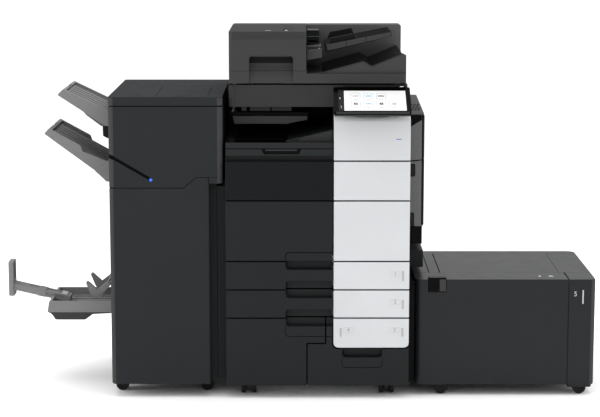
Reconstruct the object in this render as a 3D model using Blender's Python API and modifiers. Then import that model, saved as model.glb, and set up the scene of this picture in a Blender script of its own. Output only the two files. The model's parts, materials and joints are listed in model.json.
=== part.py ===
"""Office photocopier with document feeder, touch panel, booklet finisher and large paper unit.

Metres, +Z up, +X to the machine's right seen from the front, -Y towards the user.
The origin is on the floor, at the centre of the machine's overall box.
"""
import math

import bmesh
import bpy
from mathutils import Matrix, Vector

# ---------------------------------------------------------------- driving dimensions
MAIN_WIDTH = 0.615
MAIN_DEPTH = 0.688
PANEL_PROUD = 0.100  # how far the touch panel stands in front of the doors
FRONT = PANEL_PROUD - (MAIN_DEPTH + PANEL_PROUD) / 2
REAR = FRONT + MAIN_DEPTH
LEFT = -0.238
RIGHT = LEFT + MAIN_WIDTH
END = 1.013  # half the overall length, out to the booklet stop and to the paper unit

SEAM = 0.0010  # gap between neighbouring covers
TOUCH = 0.0004  # gap between pieces that rest on or beside each other
COVER = 0.025  # thickness of doors and drawer fronts
SHEET = 0.010  # thickness of the outer side and rear covers
POCKET = 0.018  # depth of a hand grip pocket

# heights of the seams between the rows of the front, from the floor
ROW_BASE = 0.043
LOWER_TOP = 0.2784
TRAY_2_TOP = 0.3754
TRAY_1_TOP = 0.4727
FRONT_DOOR_TOP = 0.6785
TONER_DOOR_TOP = 0.8125
SCANNER_BASE = 0.9885
SCANNER_TOP = 1.0615
FEEDER_BASE = 1.0675
FEEDER_SEAM = 1.1085
FEEDER_TOP = 1.2385

GRIP_LEFT = -0.037  # left end of the grips in the drawer fronts
WHITE_LEFT = 0.123  # left edge of the white column
WHITE_BASE = 0.1740

WHEEL_RADIUS = 0.0225
WHEEL_WIDTH = 0.0142
WHEEL_GAP = 0.0224  # between the two wheels of a caster
AXLE_RADIUS = 0.004
STEPS = 20  # segments round a small turned part

FIN_LEFT = -0.627
FIN_RIGHT = -0.247
FIN_FRONT = FRONT + 0.014
FIN_REAR = FRONT + 0.655
FIN_BASE = 0.0462
FIN_SEAM = 0.9950
FIN_TOP = 1.0250
FIN_STRIP = -0.292  # right edge of the finisher's door
FIN_STEP = -0.269  # right side of the finisher below the step

LCT_LEFT = 0.402
LCT_FRONT = FRONT + 0.039
LCT_REAR = LCT_FRONT + 0.528
LCT_BASE = 0.0384
LCT_TOP = 0.4036

PANEL_TILT = math.radians(26.4)

# ---------------------------------------------------------------- scene and materials


def clear_scene():
    for thing in list(bpy.data.objects):
        bpy.data.objects.remove(thing, do_unlink=True)


def new_collection(name):
    collection = bpy.data.collections.new(name)
    bpy.context.scene.collection.children.link(collection)
    return collection


clear_scene()
PARTS = new_collection("photocopier")
CUTTERS = new_collection("cutters")


def material(name, colour, roughness, metallic=0.0):
    made = bpy.data.materials.new(name)
    made.use_nodes = True
    shader = made.node_tree.nodes["Principled BSDF"]
    shader.inputs["Base Color"].default_value = (*colour, 1.0)
    shader.inputs["Roughness"].default_value = roughness
    shader.inputs["Metallic"].default_value = metallic
    return made


CHARCOAL = material("charcoal_plastic", (0.022, 0.023, 0.025), 0.42)
GRAPHITE = material("graphite_plastic", (0.045, 0.046, 0.047), 0.45)
WHITE = material("white_plastic", (0.72, 0.74, 0.75), 0.38)
TRAY_GREY = material("grey_plastic", (0.20, 0.20, 0.20), 0.5)
DARK = material("black_plastic", (0.008, 0.008, 0.009), 0.5)
STEEL = material("galvanised_steel", (0.45, 0.46, 0.47), 0.35, 1.0)
RUBBER = material("black_rubber", (0.02, 0.02, 0.02), 0.8)
GLASS = material("dark_glass", (0.01, 0.01, 0.012), 0.05)
DRUM_GREEN = material("drum_coating", (0.03, 0.22, 0.20), 0.2)

# ---------------------------------------------------------------- bodies

PIVOTS = {}


def body(name, pivot=(0.0, 0.0, 0.0), parent=None):
    """An empty on the joint's axis. The pieces that move together are parented to it."""
    empty = bpy.data.objects.new("body_" + name, None)
    PARTS.objects.link(empty)
    empty.empty_display_size = 0.05
    PIVOTS[name] = Vector(pivot)
    if parent:
        empty.parent = bpy.data.objects["body_" + parent]
        empty.location = Vector(pivot) - PIVOTS[parent]
    else:
        empty.location = pivot
    return name


def attach(piece, owner, paint):
    """Parents a piece to its body without moving it, and gives it its material."""
    piece.parent = bpy.data.objects["body_" + owner]
    piece.matrix_parent_inverse = Matrix.Translation(-PIVOTS[owner])
    piece.data.materials.append(paint)
    return piece


# ---------------------------------------------------------------- shapes


def place(name, mesh_data, collection=None):
    mesh = bpy.data.meshes.new(name)
    mesh_data.to_mesh(mesh)
    mesh_data.free()
    made = bpy.data.objects.new(name, mesh)
    (collection or PARTS).objects.link(made)
    return made


def block(name, low, high, collection=None):
    """A box from its lowest to its highest corner."""
    low, high = Vector(low), Vector(high)
    shape = Matrix.Translation((low + high) / 2) @ Matrix.Diagonal((*(high - low), 1.0))
    bm = bmesh.new()
    bmesh.ops.create_cube(bm, size=1.0, matrix=shape)
    return place(name, bm, collection)


def prism(name, axis, start, end, outline, collection=None):
    """A flat outline, in the plane square to the axis, drawn out from start to end."""
    along = "XYZ".index(axis)
    across = [k for k in range(3) if k != along]
    bm = bmesh.new()
    corners = []
    for point in outline:
        place_at = Vector((0.0, 0.0, 0.0))
        place_at[across[0]], place_at[across[1]] = point
        place_at[along] = start
        corners.append(bm.verts.new(place_at))
    face = bm.faces.new(corners)
    grown = bmesh.ops.extrude_face_region(bm, geom=[face])
    shift = Vector((0.0, 0.0, 0.0))
    shift[along] = end - start
    moved = [v for v in grown["geom"] if isinstance(v, bmesh.types.BMVert)]
    bmesh.ops.translate(bm, vec=shift, verts=moved)
    bmesh.ops.recalc_face_normals(bm, faces=bm.faces)
    return place(name, bm, collection)


def rod(name, axis, centre, radius, length, collection=None, sides=STEPS):
    """A straight cylinder along an axis."""
    turns = {
        "X": Matrix.Rotation(math.pi / 2, 4, "Y"),
        "Y": Matrix.Rotation(math.pi / 2, 4, "X"),
        "Z": Matrix.Identity(4),
    }
    bm = bmesh.new()
    bmesh.ops.create_cone(
        bm,
        cap_ends=True,
        segments=sides,
        radius1=radius,
        radius2=radius,
        depth=length,
        matrix=Matrix.Translation(centre) @ turns[axis],
    )
    return place(name, bm, collection)


def turned(name, axis, centre, profile):
    """A profile of (radius, distance along the axis), from the high end to the low end."""
    mesh = bpy.data.meshes.new(name)
    points = [(r, 0.0, d) for r, d in profile]
    edges = [(k, k + 1) for k in range(len(points) - 1)]
    mesh.from_pydata(points, edges, [])
    made = bpy.data.objects.new(name, mesh)
    PARTS.objects.link(made)
    made.location = centre
    made.rotation_euler = {"X": (0, math.pi / 2, 0), "Y": (math.pi / 2, 0, 0)}[axis]
    screw = made.modifiers.new("turn", "SCREW")
    screw.steps = screw.render_steps = STEPS
    screw.use_merge_vertices = True
    screw.merge_threshold = 0.00001
    screw.use_smooth_shade = True
    return made


def combine(piece, other, operation):
    other.hide_render = True
    other.display_type = "WIRE"
    step = piece.modifiers.new(operation.lower(), "BOOLEAN")
    step.operation = operation
    step.object = other
    step.solver = "EXACT"


def cut(piece, low, high):
    combine(piece, block("cutter", low, high, CUTTERS), "DIFFERENCE")


def drill(piece, axis, centre, radius, length):
    combine(piece, rod("drill", axis, centre, radius, length, CUTTERS), "DIFFERENCE")


def add_block(piece, low, high):
    combine(piece, block("addition", low, high, CUTTERS), "UNION")


def add_prism(piece, axis, start, end, outline):
    combine(piece, prism("addition", axis, start, end, outline, CUTTERS), "UNION")


# ---------------------------------------------------------------- casters


def caster_places(left, right, front, rear):
    """Names and floor positions of a unit's four casters."""
    return [
        ("front_left", left, front),
        ("front_right", right, front),
        ("rear_left", left, rear),
        ("rear_right", right, rear),
    ]


MAIN_CASTERS = caster_places(-0.1636, 0.3075, FRONT + 0.080, REAR - 0.080)
FIN_CASTERS = caster_places(-0.6000, -0.3080, FIN_FRONT + 0.116, FIN_REAR - 0.055)
LCT_CASTERS = caster_places(0.4932, 0.9677, LCT_FRONT + 0.045, LCT_REAR - 0.045)
CASTER_HEAD = 0.012  # height of the hub's lower end above the floor


def caster_hubs(piece, places, axle, top):
    """The hub between each pair of wheels, with its axle hole, as part of the frame."""
    half_thin, half_wide = 0.0085, 0.011
    half = (half_thin, half_wide) if axle == "X" else (half_wide, half_thin)
    for _, x, y in places:
        low = (x - half[0], y - half[1], CASTER_HEAD)
        add_block(piece, low, (x + half[0], y + half[1], top))
    for _, x, y in places:
        drill(piece, axle, (x, y, WHEEL_RADIUS), AXLE_RADIUS + TOUCH, 0.04)


def caster_wheels(unit, places, axle, parent):
    """Two wheels on one axle for each caster. They roll without limit."""
    edge, outer = WHEEL_GAP / 2, WHEEL_GAP / 2 + WHEEL_WIDTH
    soft = 0.003
    right_half = [
        (0.0, outer),
        (WHEEL_RADIUS - soft, outer),
        (WHEEL_RADIUS, outer - soft),
        (WHEEL_RADIUS, edge),
        (AXLE_RADIUS, edge),
    ]
    profile = right_half + [(r, -d) for r, d in reversed(right_half)]
    for where, x, y in places:
        name = f"{unit}_wheel_{where}"
        owner = body(name, (x, y, WHEEL_RADIUS), parent)
        attach(turned(name, axle, (x, y, WHEEL_RADIUS), profile), owner, RUBBER)


# ---------------------------------------------------------------- main unit: frame and covers

TONER_AXIS = (-0.060, 0.745)  # x, z
DRUM_AXIS = (0.235, 0.600)
FUSER_AXIS = (0.300, 0.720)
ENGINE_FRONT = FRONT + 0.050
ENGINE_REAR = FRONT + 0.560
ENGINE_SHEET = 0.006
SHAFT_RADIUS = 0.006


def main_frame():
    base = block("base_frame", (LEFT + 0.011, FRONT + 0.035, 0.0475), (RIGHT - 0.011, REAR - 0.014, 0.066))
    caster_hubs(base, MAIN_CASTERS, "X", 0.055)
    attach(base, "machine", STEEL)

    deck_low = (LEFT + 0.011, FRONT + 0.030, 0.4662)
    deck = block("engine_frame", deck_low, (RIGHT - 0.011, REAR - 0.014, 0.4702))
    for y in (ENGINE_FRONT, ENGINE_REAR):
        add_block(deck, (LEFT + 0.011, y, 0.468), (RIGHT - 0.011, y + ENGINE_SHEET, 0.8245))
    drill(deck, "Y", (TONER_AXIS[0], ENGINE_FRONT, TONER_AXIS[1]), 0.051, 0.04)
    for x, z in (DRUM_AXIS, FUSER_AXIS):
        drill(deck, "Y", (x, (ENGINE_FRONT + ENGINE_REAR) / 2, z), SHAFT_RADIUS + TOUCH, 0.6)
    attach(deck, "machine", STEEL)


# The docking bars that join the finisher to the main unit. The lower one also closes the gap.
DOCK_REAR = FRONT + 0.560


def main_covers():
    inner = FRONT + COVER + SEAM
    left = block("left_cover", (LEFT, inner, ROW_BASE), (LEFT + SHEET, REAR - SHEET - TOUCH, 0.8248))
    for beside, depth, low_z, high_z in ((FIN_STEP, 0.064, 0.055, 0.720), (FIN_RIGHT, 0.480, 0.740, 0.820)):
        add_block(left, (beside + TOUCH, FRONT + depth, low_z), (LEFT + SHEET / 2, DOCK_REAR, high_z))
    attach(left, "machine", CHARCOAL)

    rear = block("rear_cover", (LEFT, REAR - SHEET, ROW_BASE), (RIGHT, REAR, 0.9870))
    attach(rear, "machine", CHARCOAL)

    right = block("right_cover", (RIGHT - SHEET, inner, ROW_BASE), (RIGHT, REAR - SHEET - TOUCH, 0.8115))
    cut(right, (RIGHT - 0.02, FRONT + 0.170, 0.525), (RIGHT + 0.01, FRONT + 0.555, 0.79))
    add_block(right, (RIGHT - 0.005, FRONT + 0.150, 0.425), (0.434, FRONT + 0.550, 0.484))
    attach(right, "machine", CHARCOAL)


def output_section():
    """The relay unit with the inner exit tray on it, and the columns that hold the scanner."""
    relay = block("relay_unit", (-0.2365, FRONT + 0.013, 0.8285), (0.121, FRONT + 0.610, 0.8725))
    slope = [(-0.030, 0.870), (0.121, 0.870), (0.121, 0.908), (0.020, 0.882)]
    add_prism(relay, "Y", FRONT + 0.050, FRONT + 0.600, slope)
    cut(relay, (-0.116, FRONT, 0.832), (0.015, FRONT + 0.033, 0.851))
    attach(relay, "machine", GRAPHITE)

    column_rear = REAR - SHEET - TOUCH
    column = block("body_column", (0.1225, FRONT + 0.042, 0.8262), (RIGHT, FRONT + 0.630, 0.9880))
    add_block(column, (LEFT, FRONT + 0.615, 0.8262), (RIGHT, column_rear, 0.9880))
    attach(column, "machine", CHARCOAL)


def upper_front_cover():
    """White cover under the touch panel. Its top curves back and carries the panel's arm."""
    bend = 0.020
    arc = [
        (FRONT + bend - bend * math.cos(a), 0.9435 + bend * math.sin(a))
        for a in (math.radians(15 * k) for k in range(7))
    ]
    profile = [(FRONT + 0.041, TONER_DOOR_TOP + SEAM), (FRONT, TONER_DOOR_TOP + SEAM), *arc, (FRONT + 0.041, 0.9650)]
    cover = prism("upper_front_cover", "X", WHITE_LEFT, RIGHT - 0.002, profile)
    arm = [
        (FRONT - 0.052, 0.9665),
        (FRONT + 0.040, 0.9575),
        (FRONT + 0.040, 0.9800),
        (FRONT - 0.040, 0.9860),
        (FRONT - 0.052, 0.9800),
    ]
    for low in (0.195, 0.271):
        add_prism(cover, "X", low, low + 0.034, arm)
    attach(cover, "machine", WHITE)


def scanner():
    low, high = (-0.227, FRONT + 0.052, SCANNER_BASE), (0.371, FRONT + 0.640, SCANNER_TOP)
    unit = block("scanner_unit", low, high)
    cut(unit, (-0.205, FRONT + 0.085, 1.000), (0.349, FRONT + 0.530, 1.070))
    cut(unit, (-0.215, FRONT + 0.075, 1.0560), (0.359, FRONT + 0.540, 1.070))
    post = 0.010
    for x in HINGES:
        for side in (x - LUG - 0.001 - post, x + LUG + 0.001):
            post_low = (side, HINGE_AXIS[0] - 0.015, 1.040)
            add_block(unit, post_low, (side + post, HINGE_AXIS[0] + 0.015, HINGE_AXIS[1] + 0.012))
    attach(unit, "machine", GRAPHITE)
    glass = block("platen_glass", (-0.2145, FRONT + 0.0755, 1.0564), (0.3585, FRONT + 0.5395, 1.0610))
    attach(glass, "machine", GLASS)
    carriage = block("scan_carriage", (-0.200, FRONT + 0.090, 1.012), (-0.140, FRONT + 0.525, 1.050))
    attach(carriage, body("scan_carriage", (-0.170, FRONT + 0.3075, 1.031), "machine"), DARK)


def engine():
    """The three turning parts of the engine, each on its own axis along Y."""
    bottle_length, neck = 0.500, 0.012
    bottle = [
        (0.0, bottle_length / 2),
        (0.030, bottle_length / 2),
        (0.0465, bottle_length / 2 - neck),
        (0.0465, neck - bottle_length / 2),
        (0.030, -bottle_length / 2),
        (0.0, -bottle_length / 2),
    ]
    place_at = (TONER_AXIS[0], FRONT + 0.290, TONER_AXIS[1])
    attach(turned("toner_bottle", "Y", place_at, bottle), body("toner_bottle", place_at, "machine"), DARK)

    middle = (ENGINE_FRONT + ENGINE_REAR + ENGINE_SHEET) / 2
    for name, (x, z), radius, paint in (
        ("drum", DRUM_AXIS, 0.030, DRUM_GREEN),
        ("fuser_roller", FUSER_AXIS, 0.022, DARK),
    ):
        half, reach = 0.245, 0.265
        half_profile = [(0.0, reach), (SHAFT_RADIUS, reach), (SHAFT_RADIUS, half), (radius, half)]
        profile = half_profile + [(r, -d) for r, d in reversed(half_profile)]
        place_at = (x, middle, z)
        attach(turned(name, "Y", place_at, profile), body(name, place_at, "machine"), paint)


# ---------------------------------------------------------------- main unit: doors and drawers


def front_row(name, base, top, owner):
    """A row of the front: its charcoal cover, and its white end in the white column."""
    low_z, high_z = base + SEAM / 2, top - SEAM / 2
    dark = block(name, (LEFT, FRONT, low_z), (WHITE_LEFT - TOUCH, FRONT + COVER, high_z))
    white = block(name + "_white", (WHITE_LEFT, FRONT, low_z), (RIGHT - 0.002, FRONT + COVER, high_z))
    attach(dark, owner, CHARCOAL)
    attach(white, owner, WHITE)
    return dark


def grip(piece, low_x, high_x, low_z, high_z):
    cut(piece, (low_x, FRONT - 0.01, low_z), (high_x, FRONT + POCKET, high_z))


def add_tray(piece, low_x, high_x, low_z, high_z):
    """The open-topped paper tray behind a drawer front."""
    wall = 0.003
    near, far = FRONT + COVER + TOUCH, REAR - 0.050
    add_block(piece, (low_x, near, low_z), (high_x, far, high_z))
    bracket_right = min(high_x, WHITE_LEFT) - 0.006
    add_block(piece, (low_x, near - 0.004, low_z), (bracket_right, near + wall / 2, high_z))
    inside_low = (low_x + wall, near + wall, low_z + wall)
    cut(piece, inside_low, (high_x - wall, far - wall, high_z + 0.01))


# The door's lower corners have to turn inside the seams round them.
DOOR_AXIS_Z = FRONT_DOOR_TOP + 0.006


def front_doors():
    owner = body("toner_door", (0.0, FRONT + 0.0033, DOOR_AXIS_Z), "machine")
    front_row("toner_door", FRONT_DOOR_TOP, TONER_DOOR_TOP, owner)
    owner = body("front_door", (LEFT + 0.0055, FRONT + 0.006, 0.575), "machine")
    front_row("front_door", TRAY_1_TOP, FRONT_DOOR_TOP, owner)


def drawers():
    low_x, high_x = LEFT + 0.016, RIGHT - 0.018
    past = 0.01

    owner = body("tray_1", (0.0, FRONT, 0.424), "machine")
    front = front_row("tray_1", TRAY_2_TOP, TRAY_1_TOP, owner)
    add_tray(front, low_x, high_x, 0.384, 0.455)
    grip(front, GRIP_LEFT, WHITE_LEFT + past, 0.444, TRAY_1_TOP + past)
    grip(front, GRIP_LEFT, WHITE_LEFT + past, TRAY_2_TOP - past, 0.4063)

    owner = body("tray_2", (0.0, FRONT, 0.327), "machine")
    front = front_row("tray_2", LOWER_TOP, TRAY_2_TOP, owner)
    add_tray(front, low_x, high_x, 0.286, 0.366)
    grip(front, GRIP_LEFT, WHITE_LEFT + past, 0.3469, TRAY_2_TOP + past)
    grip(front, GRIP_LEFT, WHITE_LEFT + past, LOWER_TOP - past, 0.3091)

    step_x, step_low_x, step_z = 0.0985, 0.0354, 0.1909
    top = LOWER_TOP - SEAM / 2
    half = SEAM / 2
    owner = body("tray_3", (-0.1, FRONT, 0.160), "machine")
    outline = [
        (LEFT, ROW_BASE),
        (step_low_x - half, ROW_BASE),
        (step_low_x - half, step_z + half),
        (step_x - half, step_z + half),
        (step_x - half, top),
        (LEFT, top),
    ]
    left_drawer = prism("tray_3", "Y", FRONT, FRONT + COVER, outline)
    add_tray(left_drawer, low_x, step_low_x - 0.006, 0.072, 0.262)
    grip(left_drawer, GRIP_LEFT, step_x + past, 0.2497, LOWER_TOP + past)
    attach(left_drawer, owner, CHARCOAL)

    owner = body("tray_4", (0.2, FRONT, 0.160), "machine")
    white_x = WHITE_LEFT - TOUCH
    outline = [
        (step_low_x + half, ROW_BASE),
        (RIGHT - 0.002, ROW_BASE),
        (RIGHT - 0.002, WHITE_BASE - TOUCH),
        (white_x, WHITE_BASE - TOUCH),
        (white_x, top),
        (step_x + half, top),
        (step_x + half, step_z - half),
        (step_low_x + half, step_z - half),
    ]
    right_drawer = prism("tray_4", "Y", FRONT, FRONT + COVER, outline)
    add_tray(right_drawer, step_low_x + 0.006, high_x, 0.072, 0.1735)
    grip(right_drawer, step_x - past, WHITE_LEFT + past, 0.2497, LOWER_TOP + past)
    grip(right_drawer, 0.154, 0.2895, 0.142, WHITE_BASE + past)
    attach(right_drawer, owner, CHARCOAL)
    white = block("tray_4_white", (WHITE_LEFT, FRONT, WHITE_BASE), (RIGHT - 0.002, FRONT + COVER - 0.005, top))
    attach(white, owner, WHITE)


# ---------------------------------------------------------------- right side

SIDE_FRONT = FRONT + 0.150
SIDE_REAR = FRONT + 0.600


def side_door():
    owner = body("right_door", (RIGHT + 0.007, SIDE_REAR, 0.730), "machine")
    outline = [
        (SIDE_FRONT, 0.505),
        (SIDE_REAR, 0.505),
        (SIDE_REAR, 0.980),
        (SIDE_FRONT + 0.250, 0.980),
        (SIDE_FRONT, 0.9605),
    ]
    door = prism("right_door", "X", RIGHT + 0.0015, 0.433, outline)
    cut(door, (RIGHT, SIDE_FRONT + 0.012, 0.520), (0.413, SIDE_REAR - 0.012, 0.940))
    cut(door, (0.4225, SIDE_FRONT + 0.030, 0.568), (0.45, SIDE_REAR - 0.030, 0.775))
    attach(door, owner, GRAPHITE)

    tray_owner = body("bypass_tray", (0.4285, FRONT + 0.375, 0.576), "right_door")
    tray = block("bypass_tray", (0.4245, SIDE_FRONT + 0.031, 0.5725), (0.4325, SIDE_REAR - 0.031, 0.774))
    attach(tray, tray_owner, GRAPHITE)


# ---------------------------------------------------------------- touch panel


def touch_panel():
    """A flat slab leaning back, on a lug that sits between the two arms."""
    hinge = Vector((0.250, FRONT - 0.040, 0.976))
    owner = body("touch_panel", hinge, "machine")
    corner = (FRONT - 0.0929, 0.9717)
    thick, length = 0.016, 0.158
    run, rise = math.cos(PANEL_TILT), math.sin(PANEL_TILT)

    def at(along, up):
        return (corner[0] + along * run - up * rise, corner[1] + along * rise + up * run)

    slab = prism("touch_panel", "X", 0.122, 0.375, [at(0, 0), at(length, 0), at(length, thick), at(0, thick)])
    lug = [(hinge.y - 0.010, 0.968), (hinge.y + 0.010, 0.968), (hinge.y + 0.012, 1.006), (hinge.y - 0.010, 0.998)]
    add_prism(slab, "X", 0.2300, 0.2700, lug)
    rebate = [at(0.009, thick - 0.0025), at(length - 0.009, thick - 0.0025), at(length - 0.009, 0.05), at(0.009, 0.05)]
    combine(slab, prism("cutter", "X", 0.130, 0.367, rebate, CUTTERS), "DIFFERENCE")
    attach(slab, owner, DARK)

    low, high = 0.0094, length - 0.0094
    pane = [at(low, thick - 0.0021), at(high, thick - 0.0021), at(high, thick - 0.0002), at(low, thick - 0.0002)]
    attach(prism("touch_screen", "X", 0.1304, 0.3666, pane), owner, GLASS)


# ---------------------------------------------------------------- document feeder

BLOCK_RIGHT = 0.034  # right side of the feeding block, where the sheets go in
FEEDER_FRONT = FRONT + 0.047
FEEDER_REAR = FRONT + 0.545
HOUSING_FRONT = FRONT + 0.463
FEED_ROLLER = (-0.050, 1.150)  # x, z
HINGE_AXIS = (FRONT + 0.575, 1.083)  # y, z of the axis the feeder opens about
HINGES = (-0.130, 0.270)  # x of its two hinges
LUG = 0.018  # half the width of the lug between a hinge's two posts


def feeder_base():
    owner = body("feeder", (0.070, HINGE_AXIS[0], HINGE_AXIS[1]), "machine")
    base = block("feeder_base", (-0.226, FEEDER_FRONT, FEEDER_BASE), (BLOCK_RIGHT, FEEDER_REAR, FEEDER_SEAM - SEAM / 2))
    add_block(base, (BLOCK_RIGHT - 0.01, FEEDER_FRONT, FEEDER_BASE), (0.366, FEEDER_REAR, 1.0985))
    add_block(base, (-0.226, HOUSING_FRONT, 1.090), (0.369, FEEDER_REAR, FEEDER_TOP - 0.001))
    tray_floor = [
        (0.080, 1.0975),
        (0.366, 1.0975),
        (0.366, 1.160),
        (0.356, 1.165),
        (0.251, 1.122),
        (0.223, 1.139),
        (0.080, 1.1000),
    ]
    add_prism(base, "Y", FEEDER_FRONT + 0.012, HOUSING_FRONT + 0.01, tray_floor)
    chute = [(BLOCK_RIGHT + 0.002, 1.142), (0.085, 1.152), (0.085, 1.178), (BLOCK_RIGHT + 0.002, 1.174)]
    add_prism(base, "Y", FEEDER_FRONT + 0.030, HOUSING_FRONT + 0.01, chute)
    for y in (FRONT + 0.080, FRONT + 0.420):
        add_block(base, (-0.190, y, 1.100), (BLOCK_RIGHT - 0.002, y + 0.006, 1.172))
    drill(base, "Y", (FEED_ROLLER[0], FRONT + 0.253, FEED_ROLLER[1]), 0.004 + TOUCH, 0.36)
    cut(base, (-0.158, FRONT + 0.03, FEEDER_BASE - 0.01), (-0.011, FRONT + 0.075, FEEDER_SEAM + 0.01))
    for x in HINGES:
        lug_low = (x - LUG, FEEDER_REAR - 0.010, HINGE_AXIS[1] - 0.013)
        add_block(base, lug_low, (x + LUG, HINGE_AXIS[0] + 0.012, HINGE_AXIS[1] + 0.013))
    attach(base, owner, GRAPHITE)

    place_at = (FEED_ROLLER[0], FRONT + 0.253, FEED_ROLLER[1])
    half = [(0.0, 0.1745), (AXLE_RADIUS, 0.1745), (AXLE_RADIUS, 0.150), (0.014, 0.150)]
    profile = half + [(r, -d) for r, d in reversed(half)]
    attach(turned("feed_roller", "Y", place_at, profile), body("feed_roller", place_at, "feeder"), RUBBER)


def feeder_cover():
    """The openable shell over the feeding rollers. It swings up and over to the left."""
    owner = body("feed_cover", (-0.2235, FRONT + 0.254, FEEDER_SEAM + 0.005), "feeder")
    low_z, high_z = FEEDER_SEAM + SEAM / 2, FEEDER_TOP
    slope = 0.012  # the leaning band along the front of the top
    outline = [
        (FEEDER_FRONT, low_z),
        (HOUSING_FRONT - SEAM, low_z),
        (HOUSING_FRONT - SEAM, high_z),
        (FEEDER_FRONT + slope, high_z),
        (FEEDER_FRONT, high_z - 0.024),
    ]
    cover = prism("feed_cover", "X", -0.226, BLOCK_RIGHT - 0.001, outline)
    cut(cover, (-0.217, FRONT + 0.077, 1.10), (BLOCK_RIGHT + 0.01, HOUSING_FRONT - 0.009, FEEDER_TOP - 0.012))
    cut(cover, (-0.158, FRONT + 0.03, FEEDER_SEAM - 0.01), (-0.011, FEEDER_FRONT + 0.020, 1.159))
    attach(cover, owner, GRAPHITE)


def document_tray():
    left_x, right_x = 0.098, 0.320
    left_z, right_z = 1.187, 1.2315  # of the top surface
    owner = body("document_tray", (left_x, FRONT + 0.270, left_z - 0.018), "feeder")
    front, rear = FRONT + 0.110, FRONT + 0.435
    outline = [(left_x, left_z - 0.021), (right_x, right_z - 0.012), (right_x, right_z), (left_x, left_z)]
    attach(prism("document_tray", "Y", front, rear, outline), owner, GRAPHITE)

    rise = (right_z - left_z) / (right_x - left_x)

    def on_tray(x, up):
        return (x, left_z + (x - left_x) * rise + up)

    fence = [on_tray(0.108, 0.001), on_tray(0.200, 0.001), on_tray(0.192, 0.022), on_tray(0.116, 0.022)]
    for name, y in (("guide_front", front + 0.012), ("guide_rear", rear - 0.010)):
        guide_owner = body(name, (0.150, y + 0.003, 1.210), "document_tray")
        attach(prism(name, "Y", y, y + 0.006, fence), guide_owner, DARK)


# ---------------------------------------------------------------- finisher

FIN_WALL = 0.012
EXIT_FRONT = FRONT + 0.180
EXIT_REAR = FRONT + 0.470


def finisher_housing():
    shell = block("finisher_housing", (FIN_LEFT, FRONT + 0.041, FIN_BASE), (FIN_RIGHT, FIN_REAR, FIN_SEAM - SEAM / 2))
    face = [
        (FIN_LEFT, 0.7207),
        (-0.379, 0.7207),
        (-0.335, 0.7567),
        (FIN_STRIP, 0.7567),
        (FIN_STRIP, 0.735),
        (FIN_RIGHT, 0.735),
        (FIN_RIGHT, FIN_SEAM - SEAM / 2),
        (FIN_LEFT, FIN_SEAM - SEAM / 2),
    ]
    add_prism(shell, "Y", FIN_FRONT, FRONT + 0.045, face)
    past = 0.02
    cut(shell, (FIN_STEP, FRONT, 0.0), (FIN_RIGHT + past, FIN_REAR + past, 0.734))
    cut(shell, (FIN_STRIP, FRONT, 0.0), (FIN_RIGHT + past, FRONT + 0.060, 0.734))
    inner_right = FIN_STRIP - 0.004
    cut(shell, (FIN_LEFT + FIN_WALL, FRONT, FIN_BASE + FIN_WALL), (inner_right, FIN_REAR - FIN_WALL, 0.712))
    upper_low = (FIN_LEFT + FIN_WALL, FRONT + 0.053, 0.748)
    cut(shell, upper_low, (FIN_RIGHT - FIN_WALL, FIN_REAR - FIN_WALL, FIN_SEAM + past))
    for low_z, high_z in ((0.270, 0.345), (0.800, 0.860), (0.925, 0.975)):
        cut(shell, (FIN_LEFT - past, EXIT_FRONT, low_z), (FIN_LEFT + past, EXIT_REAR, high_z))
    caster_hubs(shell, FIN_CASTERS, "Y", 0.060)
    attach(shell, "machine", CHARCOAL)


def finisher_top():
    left, right, front, rear = -0.471, -0.295, FRONT + 0.040, FRONT + 0.400
    top = block("finisher_top_cover", (FIN_LEFT, FIN_FRONT, FIN_SEAM + SEAM / 2), (FIN_RIGHT, FIN_REAR, FIN_TOP))
    cut(top, (left, front, 0.9), (right, rear, 1.1))
    attach(top, "machine", CHARCOAL)
    owner = body("finisher_top_door", (-0.383, rear - SEAM, FIN_TOP - 0.001), "machine")
    low = (left + SEAM, front + SEAM, FIN_TOP - 0.022)
    attach(block("finisher_top_door", low, (right - SEAM, rear - SEAM, FIN_TOP)), owner, CHARCOAL)


def finisher_door():
    owner = body("finisher_door", (FIN_LEFT + 0.007, FIN_FRONT + 0.006, 0.390), "machine")
    outline = [
        (FIN_LEFT, FIN_BASE),
        (FIN_STRIP, FIN_BASE),
        (FIN_STRIP, 0.7555),
        (-0.3345, 0.7555),
        (-0.3785, 0.7195),
        (FIN_LEFT, 0.7195),
    ]
    attach(prism("finisher_door", "Y", FIN_FRONT, FRONT + 0.0395, outline), owner, CHARCOAL)


def finisher_trays():
    outline = [(-0.814, 1.017), (-0.793, 1.037), (FIN_LEFT - TOUCH, 0.957), (FIN_LEFT - TOUCH, 0.905), (-0.657, 0.914)]
    upper = prism("finisher_upper_tray", "Y", FRONT + 0.170, FRONT + 0.480, outline)
    brace = [(-0.735, 0.990), (-0.735, 0.958), (-0.672, 0.902), (-0.640, 0.902), (-0.640, 0.940)]
    add_prism(upper, "Y", FRONT + 0.220, FRONT + 0.430, brace)
    attach(upper, "machine", TRAY_GREY)

    gap = 0.006
    outline = [
        (-0.861, 0.884),
        (-0.845, 0.902),
        (FIN_LEFT - gap, 0.785),
        (FIN_LEFT - gap, 0.719),
        (-0.651, 0.719),
        (-0.691, 0.758),
    ]
    owner = body("stack_tray", (-0.720, FRONT + 0.325, 0.800), "machine")
    attach(prism("finisher_stack_tray", "Y", FRONT + 0.170, FRONT + 0.480, outline), owner, TRAY_GREY)


BOOKLET_SLOPE = math.radians(13.0)
BOOKLET_FRONT = FRONT + 0.190
BOOKLET_REAR = FRONT + 0.440


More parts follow.
